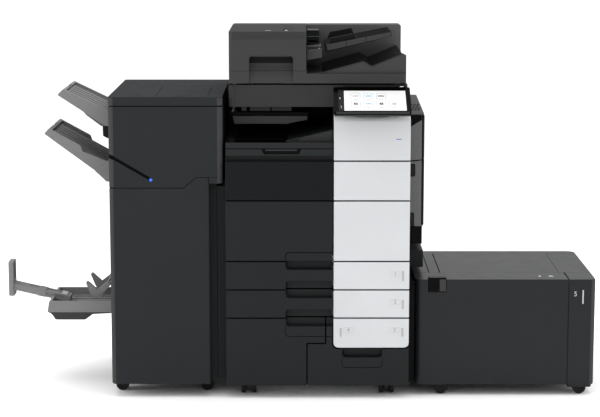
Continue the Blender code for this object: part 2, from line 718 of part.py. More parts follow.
def booklet_tray():
    wall = FIN_LEFT - TOUCH
    outline = [
        (-0.866, 0.258),
        (-0.860, 0.296),
        (wall, 0.296),
        (wall, 0.254),
        (-0.708, 0.251),
        (-0.735, 0.231),
        (-0.838, 0.231),
        (-0.850, 0.250),
    ]
    middle = (BOOKLET_FRONT + BOOKLET_REAR) / 2
    tray = prism("booklet_tray", "Y", BOOKLET_FRONT, BOOKLET_REAR, outline)
    cut(tray, (-0.850, BOOKLET_FRONT + 0.010, 0.270), (wall - 0.010, BOOKLET_REAR - 0.010, 0.31))
    cut(tray, (-0.880, middle - 0.0325, 0.270), (-0.840, middle + 0.0325, 0.31))  # lets the stop's rail out
    attach(tray, "machine", TRAY_GREY)

    run, rise = math.cos(BOOKLET_SLOPE), math.sin(BOOKLET_SLOPE)
    foot = (-0.800, 0.272)
    thick = 0.022
    length = (END - 0.010 + foot[0]) / run

    def at(along, up):
        return (foot[0] - along * run + up * rise, foot[1] + along * rise + up * run)

    owner = body("booklet_stop", (foot[0], middle, foot[1]), "machine")
    rail = [at(0, 0), at(length, 0), at(length, thick), at(0, thick)]
    slide = prism("booklet_stop", "Y", middle - 0.030, middle + 0.030, rail)
    add_block(slide, (-END, middle - 0.035, 0.294), (-END + 0.018, middle + 0.035, 0.418))
    attach(slide, owner, TRAY_GREY)


def press_arms():
    """Two bent fingers on one cross rod. They rest on the booklets as these come out."""
    pivot_x, pivot_z = -0.658, 0.352
    owner = body("press_arms", (pivot_x, (BOOKLET_FRONT + BOOKLET_REAR) / 2, pivot_z), "machine")
    finger = [
        (-0.735, 0.352),
        (-0.733, 0.358),
        (-0.727, 0.357),
        (-0.696, 0.329),
        (-0.656, 0.360),
        (-0.646, 0.349),
        (-0.684, 0.308),
        (-0.696, 0.299),
        (-0.708, 0.300),
        (-0.719, 0.312),
    ]
    near, far = BOOKLET_FRONT + 0.040, BOOKLET_REAR - 0.056
    arms = prism("press_arms", "Y", near, near + 0.016, finger)
    add_prism(arms, "Y", far, far + 0.016, finger)
    rod_length = far - near + 0.010
    link = rod("addition", "Y", (pivot_x, (near + far + 0.016) / 2, pivot_z), 0.005, rod_length, CUTTERS, 12)
    combine(arms, link, "UNION")
    attach(arms, owner, TRAY_GREY)


# ---------------------------------------------------------------- large paper unit

LCT_WALL = 0.012
LID_LEFT, LID_RIGHT = 0.494, 0.905
LID_FRONT, LID_REAR = FRONT + 0.159, FRONT + 0.510


def paper_unit():
    owner = body("paper_unit", ((LCT_LEFT + END) / 2, (LCT_FRONT + LCT_REAR) / 2, 0.2), "machine")
    shell = block("lct_housing", (LCT_LEFT, LCT_FRONT, LCT_BASE), (END, LCT_REAR, LCT_TOP))
    under = (LCT_LEFT + LCT_WALL, LCT_FRONT + LCT_WALL, 0.0)
    cut(shell, under, (END - LCT_WALL, LCT_REAR - LCT_WALL, 0.052))
    cut(shell, (LID_LEFT, LID_FRONT, 0.066), (LID_RIGHT, LID_REAR, 0.5))
    caster_hubs(shell, LCT_CASTERS, "Y", 0.060)
    cut(shell, (0.4455, LCT_FRONT - 0.02, 0.3598), (0.5080, LCT_FRONT + 0.030, LCT_TOP + 0.02))
    attach(shell, owner, CHARCOAL)

    lid_owner = body("lct_lid", (LID_LEFT + SEAM, (LID_FRONT + LID_REAR) / 2, LCT_TOP - 0.001), "paper_unit")
    low = (LID_LEFT + SEAM, LID_FRONT + SEAM, LCT_TOP - 0.014)
    attach(block("lct_lid", low, (LID_RIGHT - SEAM, LID_REAR - SEAM, LCT_TOP)), lid_owner, GRAPHITE)

    plate_owner = body("lct_lift_plate", ((LID_LEFT + LID_RIGHT) / 2, FRONT + 0.33, 0.080), "paper_unit")
    low = (LID_LEFT + 0.006, LID_FRONT + 0.006, 0.078)
    attach(block("lct_lift_plate", low, (LID_RIGHT - 0.006, LID_REAR - 0.006, 0.081)), plate_owner, STEEL)

    lever_owner = body("lct_lever", (0.4767, LCT_FRONT + 0.004, 0.366), "paper_unit")
    lever = block("lct_lever", (0.4470, LCT_FRONT - 0.003, 0.3620), (0.5065, LCT_FRONT + 0.028, LCT_TOP + 0.007))
    attach(lever, lever_owner, DARK)


# ---------------------------------------------------------------- the machine


def build():
    body("machine")
    main_frame()
    main_covers()
    output_section()
    upper_front_cover()
    scanner()
    engine()
    front_doors()
    drawers()
    side_door()
    touch_panel()
    feeder_base()
    feeder_cover()
    document_tray()
    finisher_housing()
    finisher_top()
    finisher_door()
    finisher_trays()
    booklet_tray()
    press_arms()
    paper_unit()
    caster_wheels("main", MAIN_CASTERS, "X", "machine")
    caster_wheels("finisher", FIN_CASTERS, "Y", "machine")
    caster_wheels("lct", LCT_CASTERS, "Y", "paper_unit")


build()
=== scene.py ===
"""Looks of the office photocopier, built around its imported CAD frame.

Metres, +Z up, -Y towards the user. Positions come from the CAD model's own dimensions.
"""
import json
import math

import bmesh
import bpy
from mathutils import Matrix, Vector


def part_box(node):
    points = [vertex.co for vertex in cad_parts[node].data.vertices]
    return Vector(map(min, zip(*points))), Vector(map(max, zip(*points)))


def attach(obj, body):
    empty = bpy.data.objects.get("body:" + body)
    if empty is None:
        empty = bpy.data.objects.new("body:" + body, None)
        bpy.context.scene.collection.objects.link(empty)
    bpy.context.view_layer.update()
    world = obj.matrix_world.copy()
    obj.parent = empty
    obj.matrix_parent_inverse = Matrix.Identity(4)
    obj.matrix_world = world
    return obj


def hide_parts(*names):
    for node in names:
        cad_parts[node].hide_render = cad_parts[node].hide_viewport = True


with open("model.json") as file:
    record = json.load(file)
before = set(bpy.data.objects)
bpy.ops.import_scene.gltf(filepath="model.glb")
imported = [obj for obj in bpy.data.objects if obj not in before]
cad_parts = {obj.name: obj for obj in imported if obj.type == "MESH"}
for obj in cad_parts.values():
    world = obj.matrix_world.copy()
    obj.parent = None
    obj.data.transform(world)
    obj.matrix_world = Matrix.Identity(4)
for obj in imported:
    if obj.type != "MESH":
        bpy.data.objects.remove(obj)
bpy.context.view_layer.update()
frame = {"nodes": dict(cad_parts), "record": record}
NODES = frame["nodes"]
OWNER = {n: b for b, members in frame["record"]["behaviour"]["bodies"].items() for n in members}

# ---------------------------------------------------------------- dimensions shared with the CAD

FRONT, REAR = -0.294, 0.394
LEFT, RIGHT = -0.238, 0.377
END = 1.013
GAP = 0.0023  # how far a cover's edge is set back from its seam
ROWS = (0.043, 0.2784, 0.3754, 0.4727, 0.6785, 0.8125)  # heights of the front's seams
BASE, LOWER_TOP, TRAY_2_TOP, TRAY_1_TOP, DOOR_TOP, TONER_TOP = ROWS
WHITE_LEFT, WHITE_BASE = 0.123, 0.174
COVER = 0.025
GRIP_LEFT = -0.037
DARK_RIGHT = WHITE_LEFT - 0.0023
FRONT_END = RIGHT + 0.0024  # where the covers of the front end on the right
WHITE_X = (WHITE_LEFT + 0.0019, FRONT_END - 0.0004)

# ---------------------------------------------------------------- materials


def grey(level):
    """Linear value of an 8-bit display level, or of three of them."""
    if isinstance(level, (tuple, list)):
        return tuple(grey(part) for part in level)
    part = level / 255.0
    return part / 12.92 if part <= 0.04045 else ((part + 0.055) / 1.055) ** 2.4


def finish_nodes(name):
    made = bpy.data.materials.new(name)
    made.use_nodes = True
    tree = made.node_tree
    coords = tree.nodes.new("ShaderNodeTexCoord").outputs["Object"]
    return made, tree, tree.nodes["Principled BSDF"], coords


def noise(tree, vector, scale, detail=3.0):
    made = tree.nodes.new("ShaderNodeTexNoise")
    made.inputs["Scale"].default_value = scale
    made.inputs["Detail"].default_value = detail
    tree.links.new(vector, made.inputs["Vector"])
    return made.outputs["Fac"]


def spread(tree, value, low, high, start=0.3, end=0.7):
    made = tree.nodes.new("ShaderNodeMapRange")
    for socket, number in zip(("From Min", "From Max", "To Min", "To Max"), (start, end, low, high)):
        made.inputs[socket].default_value = number
    tree.links.new(value, made.inputs["Value"])
    return made.outputs["Result"]


def blend_colour(tree, factor, low, high):
    made = tree.nodes.new("ShaderNodeMix")
    made.data_type = "RGBA"
    tree.links.new(factor, made.inputs["Factor"])
    for socket, colour in ((made.inputs[6], low), (made.inputs[7], high)):
        if isinstance(colour, bpy.types.NodeSocket):
            tree.links.new(colour, socket)
        else:
            socket.default_value = (*colour, 1.0)
    return made.outputs[2]


def bump(tree, shader, height, strength, distance):
    made = tree.nodes.new("ShaderNodeBump")
    made.inputs["Strength"].default_value = strength
    made.inputs["Distance"].default_value = distance
    tree.links.new(height, made.inputs["Height"])
    tree.links.new(made.outputs["Normal"], shader.inputs["Normal"])


def stretched(tree, coords, scale):
    made = tree.nodes.new("ShaderNodeMapping")
    made.inputs["Scale"].default_value = scale
    tree.links.new(coords, made.inputs["Vector"])
    return made.outputs["Vector"]


def plastic(name, level, roughness, gloss=0.3, grain=0.25, pitch=0.001, tint=0.02, wear=0.25, coat=0.0):
    """Moulded plastic: spark-eroded grain, a little unevenness, and patches rubbed by handling."""
    colour = grey(level) if isinstance(level, (tuple, list)) else (grey(level),) * 3
    made, tree, shader, coords = finish_nodes(name)
    cloudy = noise(tree, coords, 6.0)
    dark = tuple(c * (1.0 - tint) for c in colour)
    light = tuple(min(1.0, c * (1.0 + tint)) for c in colour)
    base = blend_colour(tree, spread(tree, cloudy, 0.0, 1.0), dark, light)
    handled = noise(tree, coords, 2.3, 4.0)
    worn = tuple(min(1.0, c * 1.25 + 0.004) for c in colour)
    base = blend_colour(tree, spread(tree, handled, 0.0, 0.3 * wear, 0.58, 0.8), base, worn)
    tree.links.new(base, shader.inputs["Base Color"])
    rubbed = noise(tree, coords, 19.0, 5.0)
    tree.links.new(spread(tree, rubbed, roughness - 0.02, roughness + 0.02), shader.inputs["Roughness"])
    bump(tree, shader, noise(tree, coords, 1.0 / pitch, 2.0), grain, 0.00012)
    shader.inputs["Specular IOR Level"].default_value = gloss
    if coat:
        shader.inputs["Coat Weight"].default_value = coat
        shader.inputs["Coat Roughness"].default_value = 0.08
    return made


def metal(name, level, roughness, brushed=(1.0, 1.0, 1.0), grain=0.2):
    """Sheet steel with zinc flowers or a brushed grain."""
    made, tree, shader, coords = finish_nodes(name)
    colour = (grey(level),) * 3
    vector = stretched(tree, coords, brushed)
    flowers = tree.nodes.new("ShaderNodeTexVoronoi")
    flowers.inputs["Scale"].default_value = 90.0
    tree.links.new(vector, flowers.inputs["Vector"])
    tint = spread(tree, flowers.outputs["Distance"], 0.0, 1.0, 0.0, 0.8)
    base = blend_colour(tree, tint, tuple(c * 0.86 for c in colour), tuple(min(1.0, c * 1.1) for c in colour))
    tree.links.new(base, shader.inputs["Base Color"])
    fine = noise(tree, vector, 160.0, 4.0)
    tree.links.new(spread(tree, fine, roughness - 0.07, roughness + 0.09), shader.inputs["Roughness"])
    bump(tree, shader, fine, grain, 0.0001)
    shader.inputs["Metallic"].default_value = 1.0
    return made


def glowing(name, colour, strength):
    """A lit window, a little uneven."""
    made, tree, shader, coords = finish_nodes(name)
    cells = spread(tree, noise(tree, coords, 240.0, 1.0), 0.0, 1.0)
    base = blend_colour(tree, cells, tuple(c * 0.8 for c in colour), colour)
    tree.links.new(base, shader.inputs["Base Color"])
    tree.links.new(base, shader.inputs["Emission Color"])
    shader.inputs["Emission Strength"].default_value = strength
    shader.inputs["Roughness"].default_value = 0.3
    return made


def glazing(name, colour, roughness, transmission):
    made, tree, shader, coords = finish_nodes(name)
    smears = noise(tree, coords, 9.0, 6.0)
    base = blend_colour(tree, smears, tuple(c * 0.85 for c in colour), colour)
    tree.links.new(base, shader.inputs["Base Color"])
    tree.links.new(spread(tree, smears, roughness, roughness + 0.05), shader.inputs["Roughness"])
    shader.inputs["Transmission Weight"].default_value = transmission
    shader.inputs["IOR"].default_value = 1.5
    return made


PAINT = {
    "charcoal": plastic("charcoal_plastic", (25, 27, 28), 0.48, 0.15),
    "finisher": plastic("finisher_plastic", (43, 45, 46), 0.6, 0.008),
    "graphite": plastic("graphite_plastic", 62, 0.6, 0.0),
    "toner": plastic("door_plastic", (17, 19, 20), 0.5, 0.1),
    # a darker copy of the door's grey: painted shade on the door's top cap
    "cap_shaded_grey": plastic("cap_plastic_painted_shade", 74, 0.6, 0.04),
    "housing": plastic("housing_plastic", 66, 0.6, 0.0),
    "cabinet": plastic("cabinet_plastic", (21, 23, 25), 0.38, 0.23),
    "side_grey": plastic("side_grey_plastic", 102, 0.55, 0.3),
    "white": plastic("white_plastic", (197, 199, 201), 0.42, 0.3, 0.12, 0.0012, 0.02, 0.2),
    "tray_grey": plastic("grey_plastic", 120, 0.6, 0.05, 0.3),
    "tray_floor": plastic("grey_plastic_floor", 110, 0.62, 0.05, 0.3),
    "black": plastic("black_plastic", 16, 0.4, 0.25),
    "bezel": plastic("bezel_plastic", 4, 0.3, 0.06, 0.03, 0.001, 0.04, 0.1),
    # also the near-black laid as painted shade on the relay's top and the feeder's exit floor
    "pane": plastic("pane_glass_and_shade_black", 4, 0.16, 0.012, 0.01, 0.001, 0.04, 0.0),
    "rear_housing": plastic("rear_housing_plastic", 86, 0.6, 0.0),
    "mark_grey": plastic("print_grey", 150, 0.6, 0.2, 0.05, 0.001, 0.03, 0.0),
    "mark_pale": plastic("print_pale", 186, 0.6, 0.2, 0.05, 0.001, 0.02, 0.0),
    "mark_gauge": plastic("print_gauge", 168, 0.6, 0.2, 0.05, 0.001, 0.02, 0.0),
    "mark_white": plastic("print_white", 222, 0.6, 0.2, 0.05, 0.001, 0.02, 0.0),
    "mark_dark": plastic("print_dark", 30, 0.6, 0.2, 0.05, 0.001, 0.03, 0.0),
    "rubber": plastic("black_rubber", 30, 0.78, 0.2, 0.5, 0.0016, 0.15, 0.6),
    "lever_green": plastic("lever_green", (36, 120, 92), 0.42, 0.35, 0.1),
    "steel": metal("galvanised_steel", 176, 0.36),
    "bright": metal("bright_steel", 205, 0.24, (1.0, 30.0, 1.0), 0.1),
    "drum": plastic("drum_coating", (24, 116, 112), 0.18, 0.6, 0.02, 0.001, 0.05, 0.0, 0.6),
    "glass": glazing("platen_glass", (0.55, 0.6, 0.6), 0.02, 0.75),
    "screen": plastic("screen_face", 206, 0.22, 0.4, 0.01, 0.001, 0.01, 0.0),
    "blue_led": glowing("blue_lamp", (0.02, 0.12, 0.7), 0.62),
    "white_led": glowing("white_lamp", (0.7, 0.74, 0.8), 0.5),
    "slate": plastic("slate_plastic", 54, 0.6, 0.0),
    "soot": plastic("soot_plastic", 30, 0.7, 0.0),
    "violet_led": glowing("violet_lamp", (0.06, 0.06, 0.42), 0.35),
    "icon_blue": plastic("icon_blue", (92, 148, 180), 0.3, 0.4, 0.01, 0.001, 0.03, 0.0),
    "icon_grey": plastic("icon_grey", (96, 100, 108), 0.3, 0.4, 0.01, 0.001, 0.03, 0.0),
    "icon_dark": plastic("icon_dark", (34, 36, 44), 0.3, 0.3, 0.01, 0.001, 0.03, 0.0),
    "tile_edge": plastic("tile_edge", 128, 0.3, 0.3, 0.01, 0.001, 0.01, 0.0),
    "tile_blue": plastic("tile_blue", (104, 146, 176), 0.3, 0.3, 0.01, 0.001, 0.01, 0.0),
    "slot_dark": plastic("slot_dark", 20, 0.4, 0.05, 0.02, 0.001, 0.03, 0.0),
    "label": plastic("blank_label", 196, 0.5, 0.3, 0.02, 0.001, 0.03, 0.0),
}

# ---------------------------------------------------------------- shapes


def keep(name, bm):
    mesh = bpy.data.meshes.new(name)
    bmesh.ops.recalc_face_normals(bm, faces=bm.faces)
    bm.to_mesh(mesh)
    bm.free()
    made = bpy.data.objects.new(name, mesh)
    bpy.context.scene.collection.objects.link(made)
    return made


def rounded(points, steps=5):
    """An outline in which a corner (u, v, radius) becomes an arc."""
    out = []
    for k, point in enumerate(points):
        here = Vector(point[:2])
        radius = point[2] if len(point) > 2 else 0.0
        if not radius:
            out.append(tuple(here))
            continue
        back = (Vector(points[k - 1][:2]) - here).normalized()
        ahead = (Vector(points[(k + 1) % len(points)][:2]) - here).normalized()
        half = back.angle(ahead) / 2
        centre = here + (back + ahead).normalized() * (radius / math.sin(half))
        start = here + back * (radius / math.tan(half)) - centre
        end = here + ahead * (radius / math.tan(half)) - centre
        turn = math.copysign(math.pi - 2 * half, start.x * end.y - start.y * end.x)
        for step in range(steps + 1):
            angle = turn * step / steps
            cos, sin = math.cos(angle), math.sin(angle)
            out.append((centre.x + start.x * cos - start.y * sin, centre.y + start.x * sin + start.y * cos))
    return out


def rectangle(low_u, high_u, low_v, high_v, *radii):
    """Corners from the lowest one, anticlockwise. One radius serves all four."""
    radii = radii * 4 if len(radii) == 1 else (radii or (0.0,) * 4)
    corners = ((low_u, low_v), (high_u, low_v), (high_u, high_v), (low_u, high_v))
    return rounded([(u, v, r) for (u, v), r in zip(corners, radii)])


def loft(name, axis, sections):
    """A closed solid through outlines of equal length, each at its place along the axis."""
    along = "XYZ".index(axis)
    across = [k for k in range(3) if k != along]
    bm = bmesh.new()
    rings = []
    for place, outline in sections:
        ring = []
        for u, v in outline:
            corner = [0.0, 0.0, 0.0]
            corner[along], corner[across[0]], corner[across[1]] = place, u, v
            ring.append(bm.verts.new(corner))
        rings.append(ring)
    count = len(rings[0])
    for near, far in zip(rings, rings[1:]):
        for k in range(count):
            bm.faces.new((near[k], near[(k + 1) % count], far[(k + 1) % count], far[k]))
    bm.faces.new(rings[0])
    bm.faces.new(rings[-1])
    return keep(name, bm)


def prism(name, axis, start, end, outline):
    return loft(name, axis, [(start, outline), (end, outline)])


def cutter(axis, start, end, outline):
    """A prism that cut() or meet() uses up."""
    return prism("tool", axis, start, end, outline)


def block(name, low, high, *radii, axis="Y"):
    """A box from its lowest to its highest corner, with its edges along the axis rounded."""
    along = "XYZ".index(axis)
    u, v = [k for k in range(3) if k != along]
    return prism(name, axis, low[along], high[along], rectangle(low[u], high[u], low[v], high[v], *radii))


def hole(low, high, *radii, axis="Y"):
    """A block that cut() uses up."""
    return block("tool", low, high, *radii, axis=axis)


def turned(name, axis, centre, profile, steps=40):
    """A solid turned from (radius, distance along the axis) points."""
    along = "XYZ".index(axis)
    u, v = [k for k in range(3) if k != along]
    bm = bmesh.new()
    rings = []
    for radius, distance in profile:
        ring = []
        for step in range(steps if radius > 1e-6 else 1):
            angle = 2 * math.pi * step / steps
            corner = list(centre)
            corner[along] += distance
            corner[u] += radius * math.cos(angle)
            corner[v] += radius * math.sin(angle)
            ring.append(bm.verts.new(corner))
        rings.append(ring)
    for near, far in zip(rings, rings[1:]):
        for k in range(steps):
            corners = [near[k % len(near)], near[(k + 1) % len(near)], far[(k + 1) % len(far)],
                far[k % len(far)]]
            bm.faces.new(list(dict.fromkeys(corners)))
    for ring in (rings[0], rings[-1]):
        if len(ring) > 1:
            bm.faces.new(ring)
    return keep(name, bm)


def rod(name, axis, centre, radius, length, steps=32):
    half = length / 2
    return turned(name, axis, centre, [(radius, -half), (radius, half)], steps)


def ribbon(points, width, end_width=None):
    """The outline of a groove or strip along a path in its plane, of even width or tapering."""
    points = [Vector(p) for p in points]
    sides = []
    for k, here in enumerate(points):
        before, after = points[max(k - 1, 0)], points[min(k + 1, len(points) - 1)]
        first = (here - before).normalized() if here != before else (after - here).normalized()
        second = (after - here).normalized() if here != after else first
        normal = Vector((-(first.y + second.y), first.x + second.x)).normalized()
        wide = width + ((end_width or width) - width) * k / (len(points) - 1)
        scale = wide / 2 / max(0.3, normal.dot(Vector((-first.y, first.x))))
        sides.append((here + normal * scale, here - normal * scale))
    return [tuple(a) for a, _ in sides] + [tuple(b) for _, b in reversed(sides)]


def bent(points, steps=5):
    """An open path in which a corner (u, v, radius) becomes an arc."""
    return rounded([points[0][:2], *points[1:-1], points[-1][:2]], steps)


def to_mesh(thing):
    """The thing as a plain mesh, with its modifiers applied."""
    bpy.context.view_layer.update()
    shown = thing.evaluated_get(bpy.context.evaluated_depsgraph_get())
    mesh = bpy.data.meshes.new_from_object(shown)
    name = thing.name
    if thing.type != "MESH":
        bpy.data.objects.remove(thing)
        thing = bpy.data.objects.new(name, mesh)
        bpy.context.scene.collection.objects.link(thing)
        return thing
    thing.modifiers.clear()
    thing.data = mesh
    return thing


def join(piece, *others):
    """The others' shells go into the piece."""
    bm = bmesh.new()
    bm.from_mesh(piece.data)
    for other in others:
        other.data.transform(other.matrix_world)
        bm.from_mesh(other.data)
        bpy.data.objects.remove(other)
    bm.to_mesh(piece.data)
    bm.free()
    return piece


def shape(piece, operation, tools):
    if not tools:
        return piece
    tool = join(tools[0], *tools[1:]) if len(tools) > 1 else tools[0]
    step = piece.modifiers.new("shape", "BOOLEAN")
    step.operation, step.solver, step.object = operation, "EXACT", tool
    step.use_self = True
    to_mesh(piece)
    bpy.data.objects.remove(tool)
    return piece


def cut(piece, *tools):
    return shape(piece, "DIFFERENCE", tools)


def add(piece, *tools):
    return shape(piece, "UNION", tools)


def meet(piece, tool):
    return shape(piece, "INTERSECT", [tool])


def cad_copy(node):
    """A clean copy of a CAD node's own shape, to soften and to cut details into."""
    bm = bmesh.new()
    bm.from_mesh(NODES[node].data)
    bmesh.ops.remove_doubles(bm, verts=bm.verts, dist=1e-5)
    bmesh.ops.dissolve_limit(bm, angle_limit=math.radians(0.5), verts=bm.verts, edges=bm.edges)
    return keep("v_" + node, bm)


def twin(piece, name):
    """A second object of the piece's present shape."""
    made = piece.copy()
    made.data = piece.data.copy()
    made.name = name
    bpy.context.scene.collection.objects.link(made)
    return made


def soften(piece, width, segments=2, angle=30.0):
    if width:
        bevel = piece.modifiers.new("edges", "BEVEL")
        bevel.width, bevel.segments = width, segments
        bevel.limit_method, bevel.angle_limit = "ANGLE", math.radians(angle)
        bevel.miter_outer = "MITER_ARC"
    weighted = piece.modifiers.new("normals", "WEIGHTED_NORMAL")
    weighted.keep_sharp = True


def flat_caps(mesh):
    """Faces of many corners are flat, so their shading is too."""
    normals = [tuple(corner.vector) for corner in mesh.corner_normals]
    for face in mesh.polygons:
        if face.loop_total > 4:
            for corner in face.loop_indices:
                normals[corner] = tuple(face.normal)
    mesh.normals_split_custom_set(normals)


def done(piece, paint, owner, width=0.0012, segments=2, replaces=(), angle=30.0):
    """Softens the piece's edges, paints it, and sets it on its body."""
    piece.data.materials.clear()
    piece.data.materials.append(PAINT[paint])
    for face in piece.data.polygons:
        face.use_smooth = True
        face.material_index = 0
    piece.data.set_sharp_from_angle(angle=math.radians(angle))
    soften(piece, width, segments, angle)
    to_mesh(piece)
    flat_caps(piece.data)
    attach(piece, owner)
    if replaces:
        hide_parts(*([replaces] if isinstance(replaces, str) else replaces))
    return piece


def like_cad(node, paint, width=0.0012, segments=2, cuts=()):
    """The CAD node's shape, softened, with details cut into it."""
    return done(cut(cad_copy(node), *cuts), paint, OWNER[node], width, segments, node)


def numeral(name, text, centre, height, thick, owner, paint):
    """A raised plain figure that faces the front."""
    curve = bpy.data.curves.new(name, "FONT")
    curve.body = text
    curve.size = height * 1.4
    curve.extrude = thick / 2
    curve.align_x, curve.align_y = "CENTER", "CENTER"
    made = bpy.data.objects.new(name, curve)
    bpy.context.scene.collection.objects.link(made)
    made = to_mesh(made)
    made.data.transform(Matrix.Translation(centre) @ Matrix.Rotation(math.pi / 2, 4, "X"))
    return done(made, paint, owner, 0.0)


def frame_mark(name, low_x, high_x, low_z, high_z, radius, line, y, owner, paint):
    """A thin rounded outline printed on a front face."""
    outer = prism(name, "Y", y - 0.0005, y + 0.001, rectangle(low_x, high_x, low_z, high_z, radius))
    inner = rectangle(low_x + line, high_x - line, low_z + line, high_z - line, radius - line)
    cut(outer, cutter("Y", y - 0.01, y + 0.01, inner))
    return done(outer, paint, owner, 0.0)


def patch(name, low, high, radius, owner, paint, axis="Y", width=0.0003):
    """A small raised or printed pad."""
    return done(block(name, low, high, radius, axis=axis), paint, owner, width, 1)


def screw(name, axis, centre, owner, radius=0.004, sign=1.0):
    """A pan-head screw with a cross recess."""
    profile = [(radius, 0.0), (radius, 0.0012), (radius * 0.7, 0.0022), (0.0, 0.0024)]
    made = turned(name, axis, centre, [(r, d * sign) for r, d in profile], 20)
    along = "XYZ".index(axis)
    tools = []
    for k in range(3):
        if k != along:
            low, high = list(centre), list(centre)
            for j in range(3):
                reach = radius * (0.6 if j == k else 0.14) if j != along else 0.0
                low[j] -= reach
                high[j] += reach
            low[along] += sign * 0.0013
            high[along] += sign * 0.004
            low[along], high[along] = sorted((low[along], high[along]))
            tools.append(hole(low, high, axis=axis))
    cut(made, *tools)
    return done(made, "bright", owner, 0.0)

# ---------------------------------------------------------------- main unit: doors and drawers

GRIP_DEEP = 0.0232
GRIP_X = -0.0225  # the fine slit in each grip
GRIP_HIGH = 0.2497  # floor of the lowest grips
ROUND = 0.0022
OVER = 0.012  # how far a cutter passes an open edge
OPEN_TOP = (0.011, 0.001, 0.0, 0.0)
OPEN_BOTTOM = (0.0, 0.0, 0.001, 0.011)
# behind the white skin the cover is dark: painted shade inside its seams
SKIN = 0.0042  # how far back the white of a cover reaches; its sides are dark behind that


def front_slab(name, paint, owner, outline, node, tools=(), depth=COVER):
    """A door's or drawer's front. A white one is a skin over a dark core, the core being painted shade inside
    the seams round it.
    """
    piece = prism(name, "Y", FRONT, FRONT + (SKIN if paint == "white" else depth), rounded(outline, 4))
    cut(piece, *tools)
    if paint == "white":
        # dark core behind the white skin: painted shade in the seams
        done(prism(name + "_seam_shade", "Y", FRONT + SKIN + 0.0001, FRONT + depth, rounded(outline, 4)), "bezel",
            owner, 0.0004, 1)
    return done(piece, paint, owner, 0.0015, 3, node)


def plain(low_x, high_x, low_z, high_z):
    """The outline of a cover, with slightly rounded corners."""
    corners = ((low_x, low_z), (high_x, low_z), (high_x, high_z), (low_x, high_z))
    return [(x, z, ROUND) for x, z in corners]


def finger_well(low_x, high_x, low_z, high_z, radii):
    """A hand grip that narrows towards its back. The radii are for the mouth's corners."""
    def ring(shrink):
        corners = ((low_x, low_z), (high_x, low_z), (high_x, high_z), (low_x, high_z))
        out = []
        for k, (x, z) in enumerate(corners):
            open_side = radii[k] == 0
            dx = shrink if k in (0, 3) else 0.0
            dz = 0.0 if open_side else (shrink * 0.6 if k in (0, 1) else -shrink * 0.6)
            out.append((x + dx, z + dz, radii[k]))
        return rounded(out, 6)

    places = ((-0.006, 0.0), (0.0, 0.0), (0.01, 0.0012), (GRIP_DEEP, 0.006))
    return loft("tool", "Y", [(FRONT + y, ring(shrink)) for y, shrink in places])


def groove(points, width=0.0026, depth=0.004, y=FRONT):
    """A fine parting line cut into a front face."""
    return cutter("Y", y - 0.005, y + depth, ribbon(bent(points, 6), width))


dark_left = LEFT + 0.0006
for node, low_z, high_z, grips in (
    ("toner_door", DOOR_TOP, TONER_TOP, None),
    ("front_door", TRAY_1_TOP, DOOR_TOP, None),
    ("tray_1", TRAY_2_TOP, TRAY_1_TOP, (0.4063, 0.444)),
    ("tray_2", LOWER_TOP, TRAY_2_TOP, (0.3091, 0.3469)),
):
    carve = []
    if node == "front_door":
        line_z = 0.503
        carve.append(groove([(GRIP_LEFT, low_z - 0.01), (GRIP_LEFT, line_z, 0.012),
            (WHITE_LEFT + 0.01, line_z)]))
    if grips:
        roof_z, floor_z = grips
        carve.append(finger_well(GRIP_LEFT, WHITE_LEFT + OVER, floor_z, high_z + OVER, OPEN_TOP))
        carve.append(finger_well(GRIP_LEFT, WHITE_LEFT + OVER, low_z - OVER, roof_z, OPEN_BOTTOM))
        carve.append(groove([(GRIP_X, roof_z - 0.0005), (GRIP_X, low_z + 0.0005)], 0.0016,
            GRIP_DEEP + 0.0008))
    outline = plain(dark_left, DARK_RIGHT, low_z + GAP, high_z - GAP)
    front_slab("v_" + node, "toner" if node == "toner_door" else "charcoal", OWNER[node], outline, node,
        carve)
    outline = plain(WHITE_X[0], WHITE_X[1], low_z + GAP, high_z - GAP)
    owner = OWNER[node + "_white"] if node + "_white" in OWNER else OWNER[node]
    front_slab("v_" + node + "_white", "white", owner, outline, node + "_white")

STEP_X, STEP_LOW_X, STEP_Z = 0.0985, 0.0354, 0.1909
top_z, low_z = LOWER_TOP - GAP, BASE + GAP
lip = 0.215  # lower end of the flush panel under the lowest grip

outline = [
    (dark_left, low_z, ROUND),
    (STEP_LOW_X - GAP, low_z, ROUND),
    (STEP_LOW_X - GAP, STEP_Z + GAP, 0.004),
    (STEP_X - GAP, STEP_Z + GAP, ROUND),
    (STEP_X - GAP, top_z, ROUND),
    (dark_left, top_z, ROUND),
]
well = finger_well(GRIP_LEFT, STEP_X + OVER, GRIP_HIGH, LOWER_TOP + OVER, OPEN_TOP)
line = groove([(GRIP_LEFT, GRIP_HIGH + 0.004), (GRIP_LEFT, lip, 0.012), (STEP_X + 0.01, lip)])
slit = groove([(GRIP_X, GRIP_HIGH + 0.0005), (GRIP_X, LOWER_TOP)], 0.0016, GRIP_DEEP + 0.0008)
front_slab("v_tray_3", "charcoal", "tray_3", outline, "tray_3", (well, line, slit))

